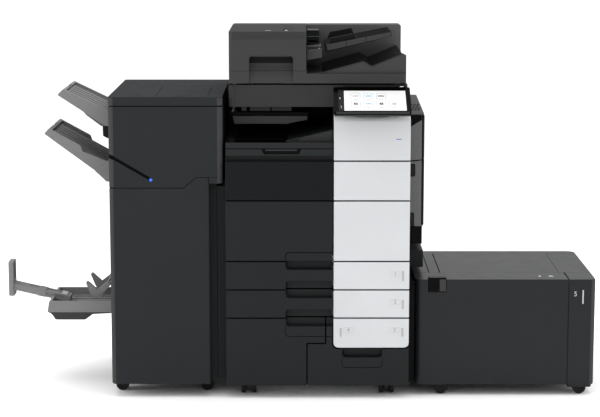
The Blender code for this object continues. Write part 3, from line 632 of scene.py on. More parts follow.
white_low = [(WHITE_X[0], WHITE_BASE + GAP, 0.016), (WHITE_X[1], WHITE_BASE + GAP, 0.016)]
white_low += [(WHITE_X[1], top_z, ROUND), (WHITE_X[0], top_z, ROUND)]
outline = [
    (STEP_LOW_X + GAP, low_z, ROUND),
    (FRONT_END, low_z, ROUND),
    (FRONT_END, top_z, 0.0),
    (STEP_X + GAP, top_z, ROUND),
    (STEP_X + GAP, STEP_Z - GAP, 0.004),
    (STEP_LOW_X + GAP, STEP_Z - GAP, ROUND),
]
room = [(WHITE_X[0] - 2 * GAP, WHITE_BASE - GAP, 0.017), (WHITE_X[1] + 2 * GAP, WHITE_BASE - GAP, 0.017)]
room += [(WHITE_X[1] + 2 * GAP, LOWER_TOP + OVER), (WHITE_X[0] - 2 * GAP, LOWER_TOP + OVER)]
low_grip = (0.154, 0.2895)  # the recess under the white column, and the line round it
tools = [
    cutter("Y", FRONT - 0.01, FRONT + 0.0208, rounded(room, 6)),
    finger_well(STEP_X - OVER, WHITE_LEFT + OVER, GRIP_HIGH, LOWER_TOP + OVER, (0.001, 0.001, 0.0, 0.0)),
    finger_well(*low_grip, 0.142, WHITE_BASE + OVER, (0.011, 0.011, 0.0, 0.0)),
    groove([(STEP_X - 0.01, lip), (WHITE_LEFT + 0.01, lip)]),
    groove([
        (low_grip[0], 0.146), (low_grip[0], 0.1076, 0.012), (low_grip[1], 0.1076, 0.012), (low_grip[1], 0.146)
    ]),
]
front_slab("v_tray_4", "charcoal", "tray_4", outline, "tray_4", tools)
front_slab("v_tray_4_white", "white", "tray_4", white_low, "tray_4_white", depth=0.02)

# the open-topped trays behind the drawer fronts, with side rails, paper guides and a lift plate
TUB_NEAR, TUB_FAR = FRONT + COVER + 0.0004, REAR - 0.05
TUB_X = (LEFT + 0.016, RIGHT - 0.018)


def tray_tub(owner, low_x, high_x, low_z, high_z, bracket_right):
    wall = 0.003
    tub = block(f"v_{owner}_tub", (low_x, TUB_NEAR, low_z), (high_x, TUB_FAR, high_z), axis="Z")
    hollow = ((low_x + wall, TUB_NEAR + wall, low_z + wall), (high_x - wall, TUB_FAR - wall, high_z + 0.01))
    cut(tub, hole(*hollow, 0.004, axis="Z"))
    notch_x = (low_x + high_x) / 2
    cut(tub, hole((notch_x - 0.045, TUB_FAR - 0.02, low_z + 0.03),
        (notch_x + 0.045, TUB_FAR + 0.01, high_z + 0.01)))
    join(tub, block("bracket", (low_x + 0.002, TUB_NEAR - 0.0005, low_z + 0.002),
        (bracket_right, TUB_NEAR + 0.001, high_z - 0.002)))
    done(tub, "tray_grey", owner, 0.0008, 2)
    for side, x in (("left", low_x + 0.0235), ("right", high_x - 0.0235)):
        fence = [(x - 0.001, low_z + wall), (x + 0.001, low_z + wall), (x + 0.001, high_z - 0.006),
            (x - 0.001, high_z - 0.006)]
        guide = prism(f"v_{owner}_guide_{side}", "Y", TUB_NEAR + 0.12, TUB_NEAR + 0.4, fence)
        join(guide, block("foot", (x - 0.012, TUB_NEAR + 0.2, low_z + wall),
            (x + 0.012, TUB_NEAR + 0.32, low_z + wall + 0.003), 0.004, axis="Z"))
        done(guide, "black", owner, 0.0004, 2)
    plate = block(f"v_{owner}_plate", (low_x + 0.028, TUB_NEAR + 0.1, low_z + wall + 0.0002),
        (high_x - 0.028, TUB_FAR - 0.03, low_z + wall + 0.0016), 0.006, axis="Z")
    cut(plate, hole((notch_x - 0.05, TUB_FAR - 0.12, low_z), (notch_x + 0.05, TUB_FAR, low_z + 0.02), 0.006,
        axis="Z"))
    done(plate, "steel", owner, 0.0004, 1)
    rail_z = (low_z + high_z) / 2 + 0.008
    for side, x in (("left", low_x - 0.0045), ("right", high_x + 0.0005)):
        rail = block(f"v_{owner}_rail_{side}", (x, TUB_NEAR + 0.02, rail_z - 0.012),
            (x + 0.004, TUB_FAR - 0.01, rail_z + 0.012))
        slot = (x - 0.01, x + 0.0028) if side == "left" else (x + 0.0012, x + 0.02)
        cut(rail, hole((slot[0], TUB_NEAR, rail_z - 0.0065), (slot[1], TUB_FAR, rail_z + 0.0065)))
        done(rail, "steel", owner, 0.0004, 1)


# thin post behind the seam between the two lower drawers
mullion = [(-0.0046, BASE + 0.0005), (0.0046, BASE + 0.0005), (0.0046, 0.115), (0.0011, 0.117),
    (0.0011, 0.188), (-0.0011, 0.188), (-0.0011, 0.159), (-0.0046, 0.157)]
done(prism("v_lower_divider", "Y", FRONT + COVER + 0.001, FRONT + COVER + 0.004,
    [(STEP_LOW_X + x, z) for x, z in mullion]), "bezel", "machine", 0.0002, 1)
tray_tub("tray_1", *TUB_X, 0.384, 0.455, WHITE_LEFT - 0.006)
tray_tub("tray_2", *TUB_X, 0.286, 0.366, WHITE_LEFT - 0.006)
tray_tub("tray_3", TUB_X[0], STEP_LOW_X - 0.006, 0.072, 0.262, STEP_LOW_X - 0.012)
tray_tub("tray_4", STEP_LOW_X + 0.006, TUB_X[1], 0.072, 0.1735, 0.3515)

# marks on the white column: a numbered tile and a paper gauge for each drawer
MARKS = (  # figure, body, the tile's centre, the gauge's place and ends
    ("1", "tray_1", 0.332, 0.43, 0.358, 0.406, 0.441),
    ("2", "tray_2", 0.332, 0.334, 0.358, 0.31, 0.342),
    ("3", "tray_4", 0.331, 0.237, 0.357, 0.214, 0.245),
    ("4", "tray_4", 0.175, 0.237, 0.149, 0.214, 0.245),
)
for figure, owner, x, z, *_ in MARKS:
    tile = (x - 0.0175, x + 0.0175, z - 0.0095, z + 0.0095)
    frame_mark(f"v_tile_{figure}", *tile, 0.003, 0.0009, FRONT, owner, "mark_pale")
    numeral(f"v_figure_{figure}", figure, (x, FRONT - 0.0002, z), 0.013, 0.001, owner, "mark_grey")
for figure, owner, _, _, x, low, high in MARKS:
    corners = (x - 0.0036, FRONT - 0.0004, low), (x + 0.0036, FRONT + 0.001, high)
    patch(f"v_gauge_{figure}", *corners, 0.003, owner, "mark_gauge")

# catches and linings inside the two doors
for node, low_z, high_z in (("toner_door", DOOR_TOP, TONER_TOP), ("front_door", TRAY_1_TOP, DOOR_TOP)):
    for k, x in enumerate((-0.2, -0.02, 0.16, 0.33)):
        done(block(f"v_{node}_catch_{k}", (x - 0.012, FRONT + COVER - 0.0005, high_z - 0.034),
            (x + 0.012, FRONT + COVER + 0.0024, high_z - 0.018), 0.002), "black", OWNER[node], 0.0005, 1)
    inner = block(f"v_{node}_lining", (LEFT + 0.016, FRONT + COVER - 0.0008, low_z + 0.016),
        (RIGHT - 0.018, FRONT + COVER + 0.0006, high_z - 0.012), 0.008)
    cut(inner, *[cutter("Y", FRONT + COVER, FRONT + COVER + 0.01,
        rectangle(x, x + 0.086, low_z + 0.026, high_z - 0.044, 0.006))
        for x in (-0.216, -0.122, -0.028, 0.066, 0.16, 0.254)])
    done(inner, "graphite", OWNER[node], 0.0002, 1)

# ---------------------------------------------------------------- main unit: body


def louvres(axis, place, depth, low_u, high_u, low_v, high_v, count, along_u=True):
    """Cutters for a row of ventilation slots with rounded ends."""
    tools = []
    span = (high_v - low_v) if along_u else (high_u - low_u)
    pitch = span / count
    for k in range(count):
        if along_u:
            v = low_v + pitch * (k + 0.5)
            box = (low_u, high_u, v - pitch * 0.27, v + pitch * 0.27)
        else:
            u = low_u + pitch * (k + 0.5)
            box = (u - pitch * 0.27, u + pitch * 0.27, low_v, high_v)
        radius = pitch * 0.26
        tools.append(cutter(axis, place - depth, place + depth, rectangle(*box, radius)))
    return tools


def parting(axis, place, depth, low_u, high_u, low_v, high_v, width=0.0022):
    """Cutter for a straight parting line on a side, rear or top face."""
    if high_u - low_u > high_v - low_v:
        box = (low_u, high_u, low_v - width / 2, low_v + width / 2)
    else:
        box = (low_u - width / 2, low_u + width / 2, low_v, high_v)
    return cutter(axis, place - depth, place + depth, rectangle(*box))


# base frame, with a plate over each caster
feet = ((-0.1636, FRONT + 0.08), (0.3075, FRONT + 0.08), (-0.1636, REAR - 0.08), (0.3075, REAR - 0.08))
like_cad("base_frame", "steel", 0.0008, 2)
corners = ((-0.022, -0.022), (0.022, -0.022), (-0.022, 0.022), (0.022, 0.022))
for k, (x, y) in enumerate(feet):
    done(block(f"v_main_caster_plate_{k}", (x - 0.03, y - 0.03, 0.044), (x + 0.03, y + 0.03, 0.0476), 0.006,
        axis="Z"), "steel", "machine", 0.0005, 1)
    for j, (dx, dy) in enumerate(corners):
        screw(f"v_main_caster_screw_{k}_{j}", "Z", (x + dx, y + dy, 0.0441), "machine", 0.0035, -1.0)

# left cover
tools = louvres("X", LEFT, 0.003, FRONT + 0.44, FRONT + 0.6, 0.1, 0.24, 14)
tools += [parting("X", LEFT, 0.0014, FRONT + 0.03, REAR - 0.012, TRAY_1_TOP, TRAY_1_TOP)]
like_cad("left_cover", "charcoal", 0.0012, 2, tools)

# right cover, mostly behind the side door and the paper unit
side_seam, vent_seam = 0.42, FRONT + 0.562
tools = louvres("X", RIGHT, 0.003, FRONT + 0.565, FRONT + 0.66, 0.56, 0.78, 20)
tools += [
    parting("X", RIGHT, 0.0014, FRONT + 0.026, REAR - 0.012, side_seam, side_seam),
    parting("X", RIGHT, 0.0014, vent_seam, vent_seam, side_seam, 0.82),
]
piece = cad_copy("right_cover")
cut(piece, *tools)
cut(piece, hole((0.38, FRONT + 0.164, 0.44), (0.436, FRONT + 0.536, 0.47), 0.006, axis="X"))
done(piece, "charcoal", "machine", 0.0016, 3, "right_cover")
for k, y in enumerate((FRONT + 0.045, FRONT + 0.64)):
    for j, z in enumerate((0.455, 0.795)):
        screw(f"v_right_cover_screw_{k}_{j}", "X", (RIGHT - 0.0002, y, z), "machine")

# rear cover: panels, vents, inlet, switch and sockets
low_seam, high_seam = 0.33, 0.812
rear_tools = [parting("Y", REAR, 0.0014, LEFT - 0.01, RIGHT + 0.01, z, z) for z in (low_seam, high_seam)]
rear_tools.append(parting("Y", REAR, 0.0014, 0.205, 0.205, low_seam, high_seam))
for vent in (
    (-0.2, -0.06, 0.7, 0.79, 9),
    (0.01, 0.18, 0.42, 0.52, 10),
    (-0.2, -0.04, 0.12, 0.28, 16),
    (0.23, 0.35, 0.84, 0.95, 12, False),
):
    rear_tools += louvres("Y", REAR, 0.0035, *vent)
piece = cad_copy("rear_cover")
cut(piece, *rear_tools)
cut(
    piece,
    hole((0.255, REAR - 0.0085, 0.085), (0.305, REAR + 0.01, 0.117), 0.003),
    hole((0.228, REAR - 0.008, 0.56), (0.352, REAR + 0.01, 0.78), 0.004),
    hole((-0.222, REAR - 0.008, 0.56), (-0.182, REAR + 0.01, 0.66), 0.01),
    hole((0.16, REAR - 0.008, 0.1), (0.2, REAR + 0.01, 0.2), 0.01),
)
done(piece, "charcoal", "machine", 0.001, 2, "rear_cover")
inlet = block("v_power_inlet", (0.2565, REAR - 0.0082, 0.0865), (0.3035, REAR - 0.001, 0.1155), 0.003)
cut(inlet, hole((0.263, REAR - 0.006, 0.09), (0.297, REAR + 0.01, 0.112), 0.004))
done(inlet, "black", "machine", 0.0006, 2)
for k, x in enumerate((0.272, 0.28, 0.288)):
    done(block(f"v_inlet_pin_{k}", (x - 0.001, REAR - 0.0062, 0.098), (x + 0.001, REAR - 0.0012, 0.106),
        axis="Z"), "bright", "machine", 0.0002, 1)
done(prism("v_breaker", "X", 0.318, 0.336, [(REAR - 0.004, 0.088), (REAR + 0.0002, 0.088),
    (REAR - 0.001, 0.101), (REAR - 0.0002, 0.114), (REAR - 0.004, 0.114)]), "black", "machine", 0.0006, 2)
sockets = block("v_socket_panel", (0.2285, REAR - 0.0078, 0.5605), (0.3515, REAR - 0.006, 0.7795), 0.003)
square, flat, wide, small = (0.016, 0.013), (0.013, 0.006), (0.034, 0.012), (0.008, 0.008)
ports = []
for k, (w, h) in enumerate((square, flat, square, flat, wide, square, wide, small)):
    x, z = 0.245 + 0.052 * (k % 2), 0.585 + 0.045 * (k // 2)
    ports.append(hole((x, REAR - 0.0072, z), (x + w, REAR + 0.01, z + h), 0.001))
cut(sockets, *ports)
done(sockets, "steel", "machine", 0.0003, 1)
for k, x in enumerate((LEFT + 0.012, -0.02, 0.195, RIGHT - 0.014)):
    for j, z in enumerate((0.06, 0.318, 0.344, 0.798, 0.826, 0.972)):
        screw(f"v_rear_screw_{k}_{j}", "Y", (x, REAR - 0.0002, z), "machine")

# engine frame and what shows when the doors are open
like_cad("engine_frame", "steel", 0.0005, 1)
BOTTLE, DRUM, FUSER = (-0.06, 0.745), (0.235, 0.6), (0.3, 0.72)  # axes, as (x, z)
INNER_FACE = FRONT + 0.0365
piece = block("v_inner_cover", (LEFT + 0.016, INNER_FACE, 0.486), (RIGHT - 0.016, FRONT + 0.0485, 0.806),
    0.008)
cut(
    piece,
    *[
        rod("tool", "Y", (x, FRONT + 0.045, z), bore, 0.05, steps)
        for (x, z), bore, steps in ((BOTTLE, 0.0515, 48), (DRUM, 0.013, 32), (FUSER, 0.013, 32))
    ],
    hole((-0.19, FRONT + 0.03, 0.505), (0.12, FRONT + 0.04, 0.64), 0.01),
    parting("Y", INNER_FACE, 0.0016, LEFT, 0.14, 0.672, 0.672),
    parting("Y", INNER_FACE, 0.0016, 0.14, 0.14, 0.48, 0.81),
)
done(piece, "graphite", "machine")
waste = block("v_waste_box", (-0.184, FRONT + 0.034, 0.511), (0.114, FRONT + 0.0482, 0.634), 0.008)
cut(waste, hole((-0.07, FRONT + 0.03, 0.56), (0.0, FRONT + 0.04, 0.59), 0.008))
done(waste, "tray_grey", "machine", 0.0016, 3)
for k, (x, z) in enumerate(((0.17, 0.78), (0.17, 0.5), (-0.15, 0.79), (0.345, 0.56))):
    knob = turned(f"v_lock_knob_{k}", "Y", (x, FRONT + 0.0366, z),
        [(0.01, 0.0), (0.01, -0.003), (0.0085, -0.0045), (0.0, -0.0045)], 28)
    add(knob, block("bar", (x - 0.0018, FRONT + 0.0285, z - 0.008), (x + 0.0018, FRONT + 0.034, z + 0.008),
        0.001))
    done(knob, "lever_green", "machine", 0.0005, 2)


def stepped_roller(name, node, centre, radius, reach, shaft, paint):
    """A roller with turned shoulders on its shaft."""
    half = [(shaft * 0.8, reach), (shaft, reach - 0.0015), (shaft, reach - 0.019),
        (radius * 0.8, reach - 0.0205), (radius, reach - 0.0225)]
    piece = turned(name, "Y", centre, half + [(r, -d) for r, d in reversed(half)], 48)
    return done(piece, paint, OWNER[node], 0.0, 1, node)


engine_y = FRONT + (0.05 + 0.56 + 0.006) / 2
stepped_roller("v_drum", "drum", (DRUM[0], engine_y, DRUM[1]), 0.03, 0.265, 0.006, "drum")
stepped_roller("v_fuser_roller", "fuser_roller", (FUSER[0], engine_y, FUSER[1]), 0.022, 0.265, 0.006,
    "rubber")
bottle_y, half, radius = FRONT + 0.29, 0.25, 0.0465
profile = [(0.0, -half), (0.02, -half), (0.022, -half + 0.002), (0.03, -half + 0.003),
    (radius - 0.002, -half + 0.011), (radius, -half + 0.014)]
for k in range(16):
    d = -half + 0.03 + k * 0.028
    profile += [(radius, d), (radius - 0.004, d + 0.006), (radius - 0.004, d + 0.01), (radius, d + 0.016)]
profile += [(radius, half - 0.014), (0.03, half), (0.0, half)]
done(turned("v_toner_bottle", "Y", (BOTTLE[0], bottle_y, BOTTLE[1]), profile, 48), "black", "toner_bottle",
    0.0, 1, "toner_bottle")
done(block("v_toner_bottle_grip", (-0.0635, bottle_y - half - 0.0036, 0.729),
    (-0.0565, bottle_y - half + 0.002, 0.761), 0.003), "lever_green", "toner_bottle", 0.0006, 2)

# relay unit and the inner exit tray
relay_front = FRONT + 0.013
piece = cad_copy("relay_unit")
add(piece, block("fill", (-0.118, relay_front + 0.0001, 0.83), (0.017, relay_front + 0.033, 0.852)))
cut(piece, cutter("Y", relay_front - 0.01, relay_front + 0.008, rectangle(-0.245, 0.125, 0.8505, 0.8537)),
    loft("tool", "Y", [(relay_front - 0.01, rounded([(-0.113, 0.832, 0.01), (0.013, 0.832, 0.01),
    (0.019, 0.8509), (-0.119, 0.8509)], 6)), (relay_front + 0.0196,
    rounded([(-0.109, 0.835, 0.008), (0.009, 0.835, 0.008), (0.011, 0.8509), (-0.111, 0.8509)], 6)),]),)
done(piece, "finisher", "machine", 0.0018, 3, "relay_unit")
patch("v_relay_grip_bar", (-0.104, relay_front + 0.003, 0.845), (0.002, relay_front + 0.019, 0.8498), 0.002,
    "machine", "graphite", width=0.0008)
# dark strip at the back of the groove: painted shade in the seam
done(block("v_relay_line_shade", (-0.2355, relay_front + 0.004, 0.8506), (0.1195, relay_front + 0.0085, 0.8536)),
    "bezel", "machine", 0.0)
# near-black sheet over the relay's top in the bay: painted shade
done(block("v_relay_top_shade", (-0.2355, relay_front + 0.004, 0.8723), (-0.03, FRONT + 0.608, 0.8729), axis="Z"),
    "pane", "machine", 0.0)
ramp = [(0.002, 0.8738), (0.12, 0.8738), (0.12, 0.9075), (0.018, 0.883)]
# lighter face plate on the ramp: painted light making up for the shade in the bay
done(prism("v_exit_ramp_lit_face", "Y", FRONT + 0.0486, FRONT + 0.0499, ramp), "graphite", "machine", 0.0)
for k in range(6):
    y = FRONT + 0.11 + 0.08 * k
    done(prism(f"v_exit_tray_rib_{k}", "Y", y, y + 0.004, [(-0.225, 0.872), (-0.03, 0.872), (0.02, 0.8835),
        (0.118, 0.9078), (0.118, 0.9095), (0.018, 0.8852), (-0.031, 0.8737), (-0.225, 0.8737)]), "charcoal",
        "machine", 0.0006, 1)
done(prism("v_exit_ramp_edge", "Y", FRONT + 0.0488, FRONT + 0.0545,
    [(-0.034, 0.872), (0.02, 0.8838), (0.1205, 0.9085), (0.1205, 0.911), (0.019, 0.8862), (-0.036, 0.874)]),
    "graphite", "machine", 0.0006, 2)

# columns behind and beside the bay, and the guide that the sheets come out under
tools = [
    parting("X", RIGHT, 0.0012, FRONT + 0.3, FRONT + 0.3, 0.82, 0.99),
    *louvres("X", RIGHT, 0.003, FRONT + 0.625, FRONT + 0.665, 0.85, 0.97, 10),
]
like_cad("body_column", "charcoal", 0.0014, 2, tools)
# the guide is painted a lighter grey than its plastic: painted light making up for the shade in the bay
done(prism("v_exit_guide", "Y", FRONT + 0.205, FRONT + 0.215,
    rounded([(-0.2135, 0.9135, 0.004), (-0.03, 0.9135, 0.05), (0.037, 0.928, 0.004), (0.037, 0.941),
    (-0.219, 0.941)], 6)), "side_grey", "machine")
done(prism("v_exit_guide_roof", "Z", 0.9442, 0.956, rounded(
    [(-0.223, FRONT + 0.19, 0.006), (0.045, FRONT + 0.19, 0.006), (0.045, FRONT + 0.61),
    (-0.223, FRONT + 0.61)], 4)), "bezel", "machine", 0.001, 2)
for k, (x, width) in enumerate(((-0.176, 0.018), (-0.122, 0.07), (-0.05, 0.068))):
    under = block(f"v_scanner_underside_{k}", (x - width / 2, FRONT + 0.076, 0.972),
        (x + width / 2, FRONT + 0.112, 0.9882), 0.002, axis="Z")
    done(under, "black", "machine", 0.0008, 2)
for k in range(7):
    x = -0.196 + 0.038 * k
    done(rod(f"v_exit_roller_{k}", "X", (x, FRONT + 0.228, 0.9275), 0.008, 0.014, 24), "rubber", "machine")

# white cover under the touch panel, and the dark arm that carries the panel
bend = 0.022
arc = [(FRONT + bend - bend * math.cos(math.radians(6 * k)), 0.9415 + bend * math.sin(math.radians(6 * k)))
    for k in range(16)]
profile = [(FRONT + 0.04, TONER_TOP + GAP), (FRONT, TONER_TOP + GAP), *arc, (FRONT + 0.04, 0.9648)]
done(prism("v_upper_front_cover", "X", WHITE_X[0], WHITE_X[1], profile), "white", "machine", 0.0015, 3,
    "upper_front_cover", 40.0)
arm = rounded([(FRONT - 0.052, 0.9668, 0.003), (FRONT + 0.04, 0.958), (FRONT + 0.04, 0.9798),
    (FRONT - 0.04, 0.9858, 0.003), (FRONT - 0.052, 0.98, 0.002)], 4)
for side, low in (("left", 0.195), ("right", 0.271)):
    done(prism(f"v_panel_arm_{side}", "X", low, low + 0.034, arm), "black", "machine")
done(prism("v_panel_neck", "X", 0.15, 0.35, rounded([(FRONT + 0.022, 0.964), (FRONT + 0.041, 0.964),
    (FRONT + 0.041, 0.986), (FRONT + 0.03, 0.986, 0.004)], 4)), "black", "machine")
patch("v_status_lamp", (0.331, FRONT - 0.0004, 0.8845), (0.349, FRONT + 0.001, 0.8872), 0.0013, "machine",
    "violet_led")
patch("v_status_dot", (0.356, FRONT - 0.0004, 0.8845), (0.3585, FRONT + 0.001, 0.887), 0.0012, "machine",
    "mark_gauge")
done(block("v_bay_sill", (-0.2365, FRONT + 0.0285, 0.8065), (0.3745, FRONT + 0.0495, 0.8278), 0.003,
    axis="X"), "black", "machine", 0.0008, 2)
done(block("v_dock_plate", (-0.2466, FRONT + 0.6, 0.823), (-0.2375, FRONT + 0.64, 0.986)), "black", "machine",
    0.001, 1)

# scanner
scan_front = FRONT + 0.052
piece = cad_copy("scanner_unit")
plan = rounded([(-0.2268, scan_front + 0.0002, 0.018), (0.3708, scan_front + 0.0002, 0.01),
    (0.3708, FRONT + 0.645), (-0.2268, FRONT + 0.645)], 8)
meet(piece, cutter("Z", 0.95, 1.12, plan))
cut(
    piece,
    parting("Y", scan_front, 0.0012, -0.2065, -0.2065, 0.98, 1.07, 0.0014),
    parting("X", 0.371, 0.0014, FRONT + 0.33, FRONT + 0.33, 0.98, 1.056),
    *louvres("Y", FRONT + 0.64, 0.003, -0.19, -0.06, 1.0, 1.045, 6),
)
done(piece, "slate", "machine", 0.002, 3, "scanner_unit")
done(prism("v_scanner_band", "Z", 1.04, 1.0608, rounded(
    [(0.157, scan_front - 0.0008, 0.0), (0.369, scan_front - 0.0008, 0.009), (0.3715, scan_front + 0.03),
    (0.157, scan_front + 0.03)], 6)), "black", "machine", 0.001, 2)
patch("v_power_lamp", (0.345, scan_front - 0.0014, 1.055), (0.357, scan_front + 0.001, 1.0576), 0.0012,
    "machine", "white_led")
like_cad("platen_glass", "glass", 0.0005, 2)
done(block("v_platen_scale", (-0.214, FRONT + 0.076, 1.0611), (-0.204, FRONT + 0.539, 1.0614), 0.001,
    axis="Z"), "label", "machine", 0.0)
like_cad("scan_carriage", "black", 0.001, 2, cuts=[hole((-0.181, FRONT + 0.1, 1.043),
    (-0.159, FRONT + 0.515, 1.06), 0.002, axis="Z")])
done(block("v_scan_lamp", (-0.179, FRONT + 0.105, 1.0435), (-0.174, FRONT + 0.51, 1.047), 0.001, axis="Z"),
    "mark_white", "scan_carriage", 0.0005, 1)
for k, y in enumerate((FRONT + 0.115, FRONT + 0.5)):
    done(rod(f"v_scan_rail_{k}", "X", (0.072, y, 1.006), 0.004, 0.54, 20), "bright", "machine", 0.0005, 1)

# ---------------------------------------------------------------- right door

SIDE_FRONT, SIDE_REAR = FRONT + 0.15, FRONT + 0.6
WAIST = 0.568  # below it the door is dark and narrower

SIDE_OUT = 0.4336  # outer face
CAP_LOW, CAP_HIGH = 0.954, 0.975  # heights of the top at its front and its rear
profile = [(SIDE_FRONT, WAIST), (SIDE_REAR, WAIST), (SIDE_REAR, CAP_HIGH - 0.0035),
    (SIDE_FRONT, CAP_LOW - 0.0035)]
piece = prism("v_right_door", "X", RIGHT + 0.0018, SIDE_OUT, profile)
plan = rounded([(RIGHT, SIDE_FRONT, 0.0), (SIDE_OUT, SIDE_FRONT, 0.007), (SIDE_OUT, SIDE_REAR, 0.01),
    (RIGHT, SIDE_REAR)], 8)
meet(piece, cutter("Z", 0.5, 1.0, plan))
profile = [(SIDE_FRONT, CAP_LOW - 0.0034), (SIDE_REAR, CAP_HIGH - 0.0034), (SIDE_REAR, CAP_HIGH),
    (SIDE_FRONT, CAP_LOW)]
door_cap = meet(prism("v_right_door_cap", "X", RIGHT + 0.0018, SIDE_OUT + 0.0004, profile),
    cutter("Z", 0.5, 1.0, plan))
cut(
    piece,
    hole((RIGHT, SIDE_FRONT + 0.012, 0.52), (0.413, SIDE_REAR - 0.012, 0.94)),
    hole((0.4225, SIDE_FRONT + 0.03, 0.54), (0.45, SIDE_REAR - 0.03, 0.775), 0.004, axis="X"),
)
seam = rounded([(RIGHT, 0.7905), (0.4, 0.7915, 0.05), (0.44, 0.7955), (0.44, 0.7995), (0.4, 0.796, 0.05),
    (RIGHT, 0.795)], 6)
latch = rounded([(RIGHT, 0.7385), (0.405, 0.7385, 0.008), (0.405, 0.7835, 0.006), (RIGHT, 0.7835)], 5)
hook = rounded([(RIGHT, 0.55), (0.4025, 0.55), (0.4025, 0.615, 0.006), (RIGHT, 0.615)], 5)
ahead = SIDE_FRONT - 0.01
cut(piece, cutter("Y", ahead, SIDE_FRONT + 0.01, latch), cutter("Y", ahead, SIDE_FRONT + 0.01, hook))
cut(piece, cutter("Y", ahead, SIDE_FRONT + 0.011, seam))
# dark block at the back of the seam: painted shade in the gap
done(block("v_door_seam_shade", (RIGHT + 0.003, SIDE_FRONT + 0.006, 0.789), (0.418, SIDE_FRONT + 0.011, 0.8)),
    "bezel", "right_door", 0.0)
# a shallow recess under the cap, lined with a dark inset: painted shadow of the cap
cap_shadow = [(RIGHT, 0.905), (0.385, 0.908), (0.4235, 0.932), (0.44, 0.935), (0.44, 0.97), (RIGHT, 0.97)]
cut(piece, cutter("Y", ahead, SIDE_FRONT + 0.0025, cap_shadow))
inset = prism("v_right_door_cap_shadow", "Y", SIDE_FRONT + 0.0008, SIDE_FRONT + 0.003, cap_shadow)
meet(inset, cutter("Z", 0.5, CAP_LOW - 0.0036, rounded([(RIGHT + 0.002, SIDE_FRONT, 0.0),
    (SIDE_OUT - 0.001, SIDE_FRONT, 0.016), (SIDE_OUT - 0.001, SIDE_REAR), (RIGHT + 0.002, SIDE_REAR)], 8)))
done(inset, "bezel", "right_door", 0.0)
holes = []
for row in range(4):
    for column in range(4):
        x = 0.3855 + 0.0112 * column + (0.0056 if row % 2 else 0.0)
        y = SIDE_FRONT + 0.075 + 0.04 * row
        if x < 0.426:
            holes.append(cutter("Z", 0.9455, 1.0, rectangle(x - 0.0034, x + 0.0034, y, y + 0.028, 0.003)))
holes.append(rod("tool", "Z", (x, y, 0.97), 0.003, 0.05, 12))  # round, where the last slot has no room
holes.append(rod("tool", "Z", (0.4, SIDE_FRONT + 0.035, 0.965), 0.0035, 0.02, 3))
cut(door_cap, *holes)
cut(piece, hole((RIGHT + 0.004, SIDE_FRONT + 0.06, 0.944), (0.429, SIDE_FRONT + 0.24, 0.99)))
# the cap is darker than the door: painted shade on its lit top
done(door_cap, "cap_shaded_grey", "right_door", 0.001, 2)
done(piece, "side_grey", "right_door", 0.0014, 2, "right_door")
lining = [(SIDE_FRONT + 0.05, 0.94), (SIDE_FRONT + 0.3, 0.94), (SIDE_FRONT + 0.3, 0.9458),
    (SIDE_FRONT + 0.05, 0.9458)]
done(prism("v_vent_lining", "X", RIGHT + 0.004, 0.428, lining), "black", "right_door", 0.0)
for name, low_z, high_z in (("latch", 0.74, 0.782), ("hook", 0.57, 0.6135)):
    done(block(f"v_door_{name}", (RIGHT + 0.003, SIDE_FRONT + 0.007, low_z),
        (0.4035, SIDE_FRONT + 0.0125, high_z), 0.005), "black", "right_door")
low = prism("v_right_door_foot", "X", RIGHT + 0.0018, 0.43,
    [(SIDE_FRONT + 0.004, 0.5055), (SIDE_REAR - 0.004, 0.5055), (SIDE_REAR - 0.004, WAIST - 0.0004),
    (SIDE_FRONT + 0.004, WAIST - 0.0004)])
cut(low, hole((RIGHT, SIDE_FRONT + 0.016, 0.516), (0.413, SIDE_REAR - 0.016, 0.6)))
strap = groove([(0.396, WAIST + 0.01), (0.393, 0.545, 0.02), (0.388, 0.5)], 0.003, 0.0016, SIDE_FRONT + 0.004)
cut(low, strap)
done(low, "bezel", "right_door", 0.0016, 3)
strip_plan = rounded([(SIDE_OUT - 0.0072, SIDE_FRONT - 0.0004),
    (SIDE_OUT + 0.0006, SIDE_FRONT - 0.0004, 0.007), (SIDE_OUT + 0.0006, SIDE_FRONT + 0.03),
    (SIDE_OUT - 0.0004, SIDE_FRONT + 0.03), (SIDE_OUT - 0.0004, SIDE_FRONT + 0.0008, 0.006),
    (SIDE_OUT - 0.0072, SIDE_FRONT + 0.0008)], 8)
done(prism("v_right_door_edge", "Z", WAIST + 0.004, CAP_LOW - 0.004, strip_plan), "bezel", "right_door", 0.0)
skin = prism("v_right_door_skin", "X", SIDE_OUT - 0.0008, SIDE_OUT + 0.0024,
    rounded([(SIDE_FRONT + 0.012, WAIST + 0.002, 0.006), (SIDE_REAR - 0.008, WAIST + 0.002, 0.006),
    (SIDE_REAR - 0.008, 0.967, 0.008), (SIDE_FRONT + 0.012, 0.9465, 0.006)], 5))
cut(skin, hole((0.42, SIDE_FRONT + 0.0295, 0.54), (0.45, SIDE_REAR - 0.0295, 0.7755), 0.004, axis="X"))
cut(skin, parting("X", SIDE_OUT + 0.0024, 0.0012, SIDE_FRONT, SIDE_REAR, 0.8, 0.8),
    *louvres("X", SIDE_OUT + 0.0024, 0.0016, SIDE_FRONT + 0.3, SIDE_REAR - 0.04, 0.85, 0.94, 8))
done(skin, "charcoal", "right_door", 0.001, 2)
like_cad("bypass_tray", "graphite", 0.0012, 2, cuts=[hole((0.431, FRONT + 0.32, 0.742),
    (0.44, FRONT + 0.43, 0.762), 0.006, axis="X"), parting("X", 0.4325, 0.0012, FRONT + 0.19, FRONT + 0.56,
    0.6, 0.6)])
for side, y in (("front", FRONT + 0.25), ("rear", FRONT + 0.5)):
    done(block(f"v_bypass_guide_{side}", (0.4236, y - 0.004, 0.64), (0.4247, y + 0.004, 0.74), 0.003,
        axis="X"), "black", "bypass_tray", 0.0003, 1)

# ---------------------------------------------------------------- touch panel

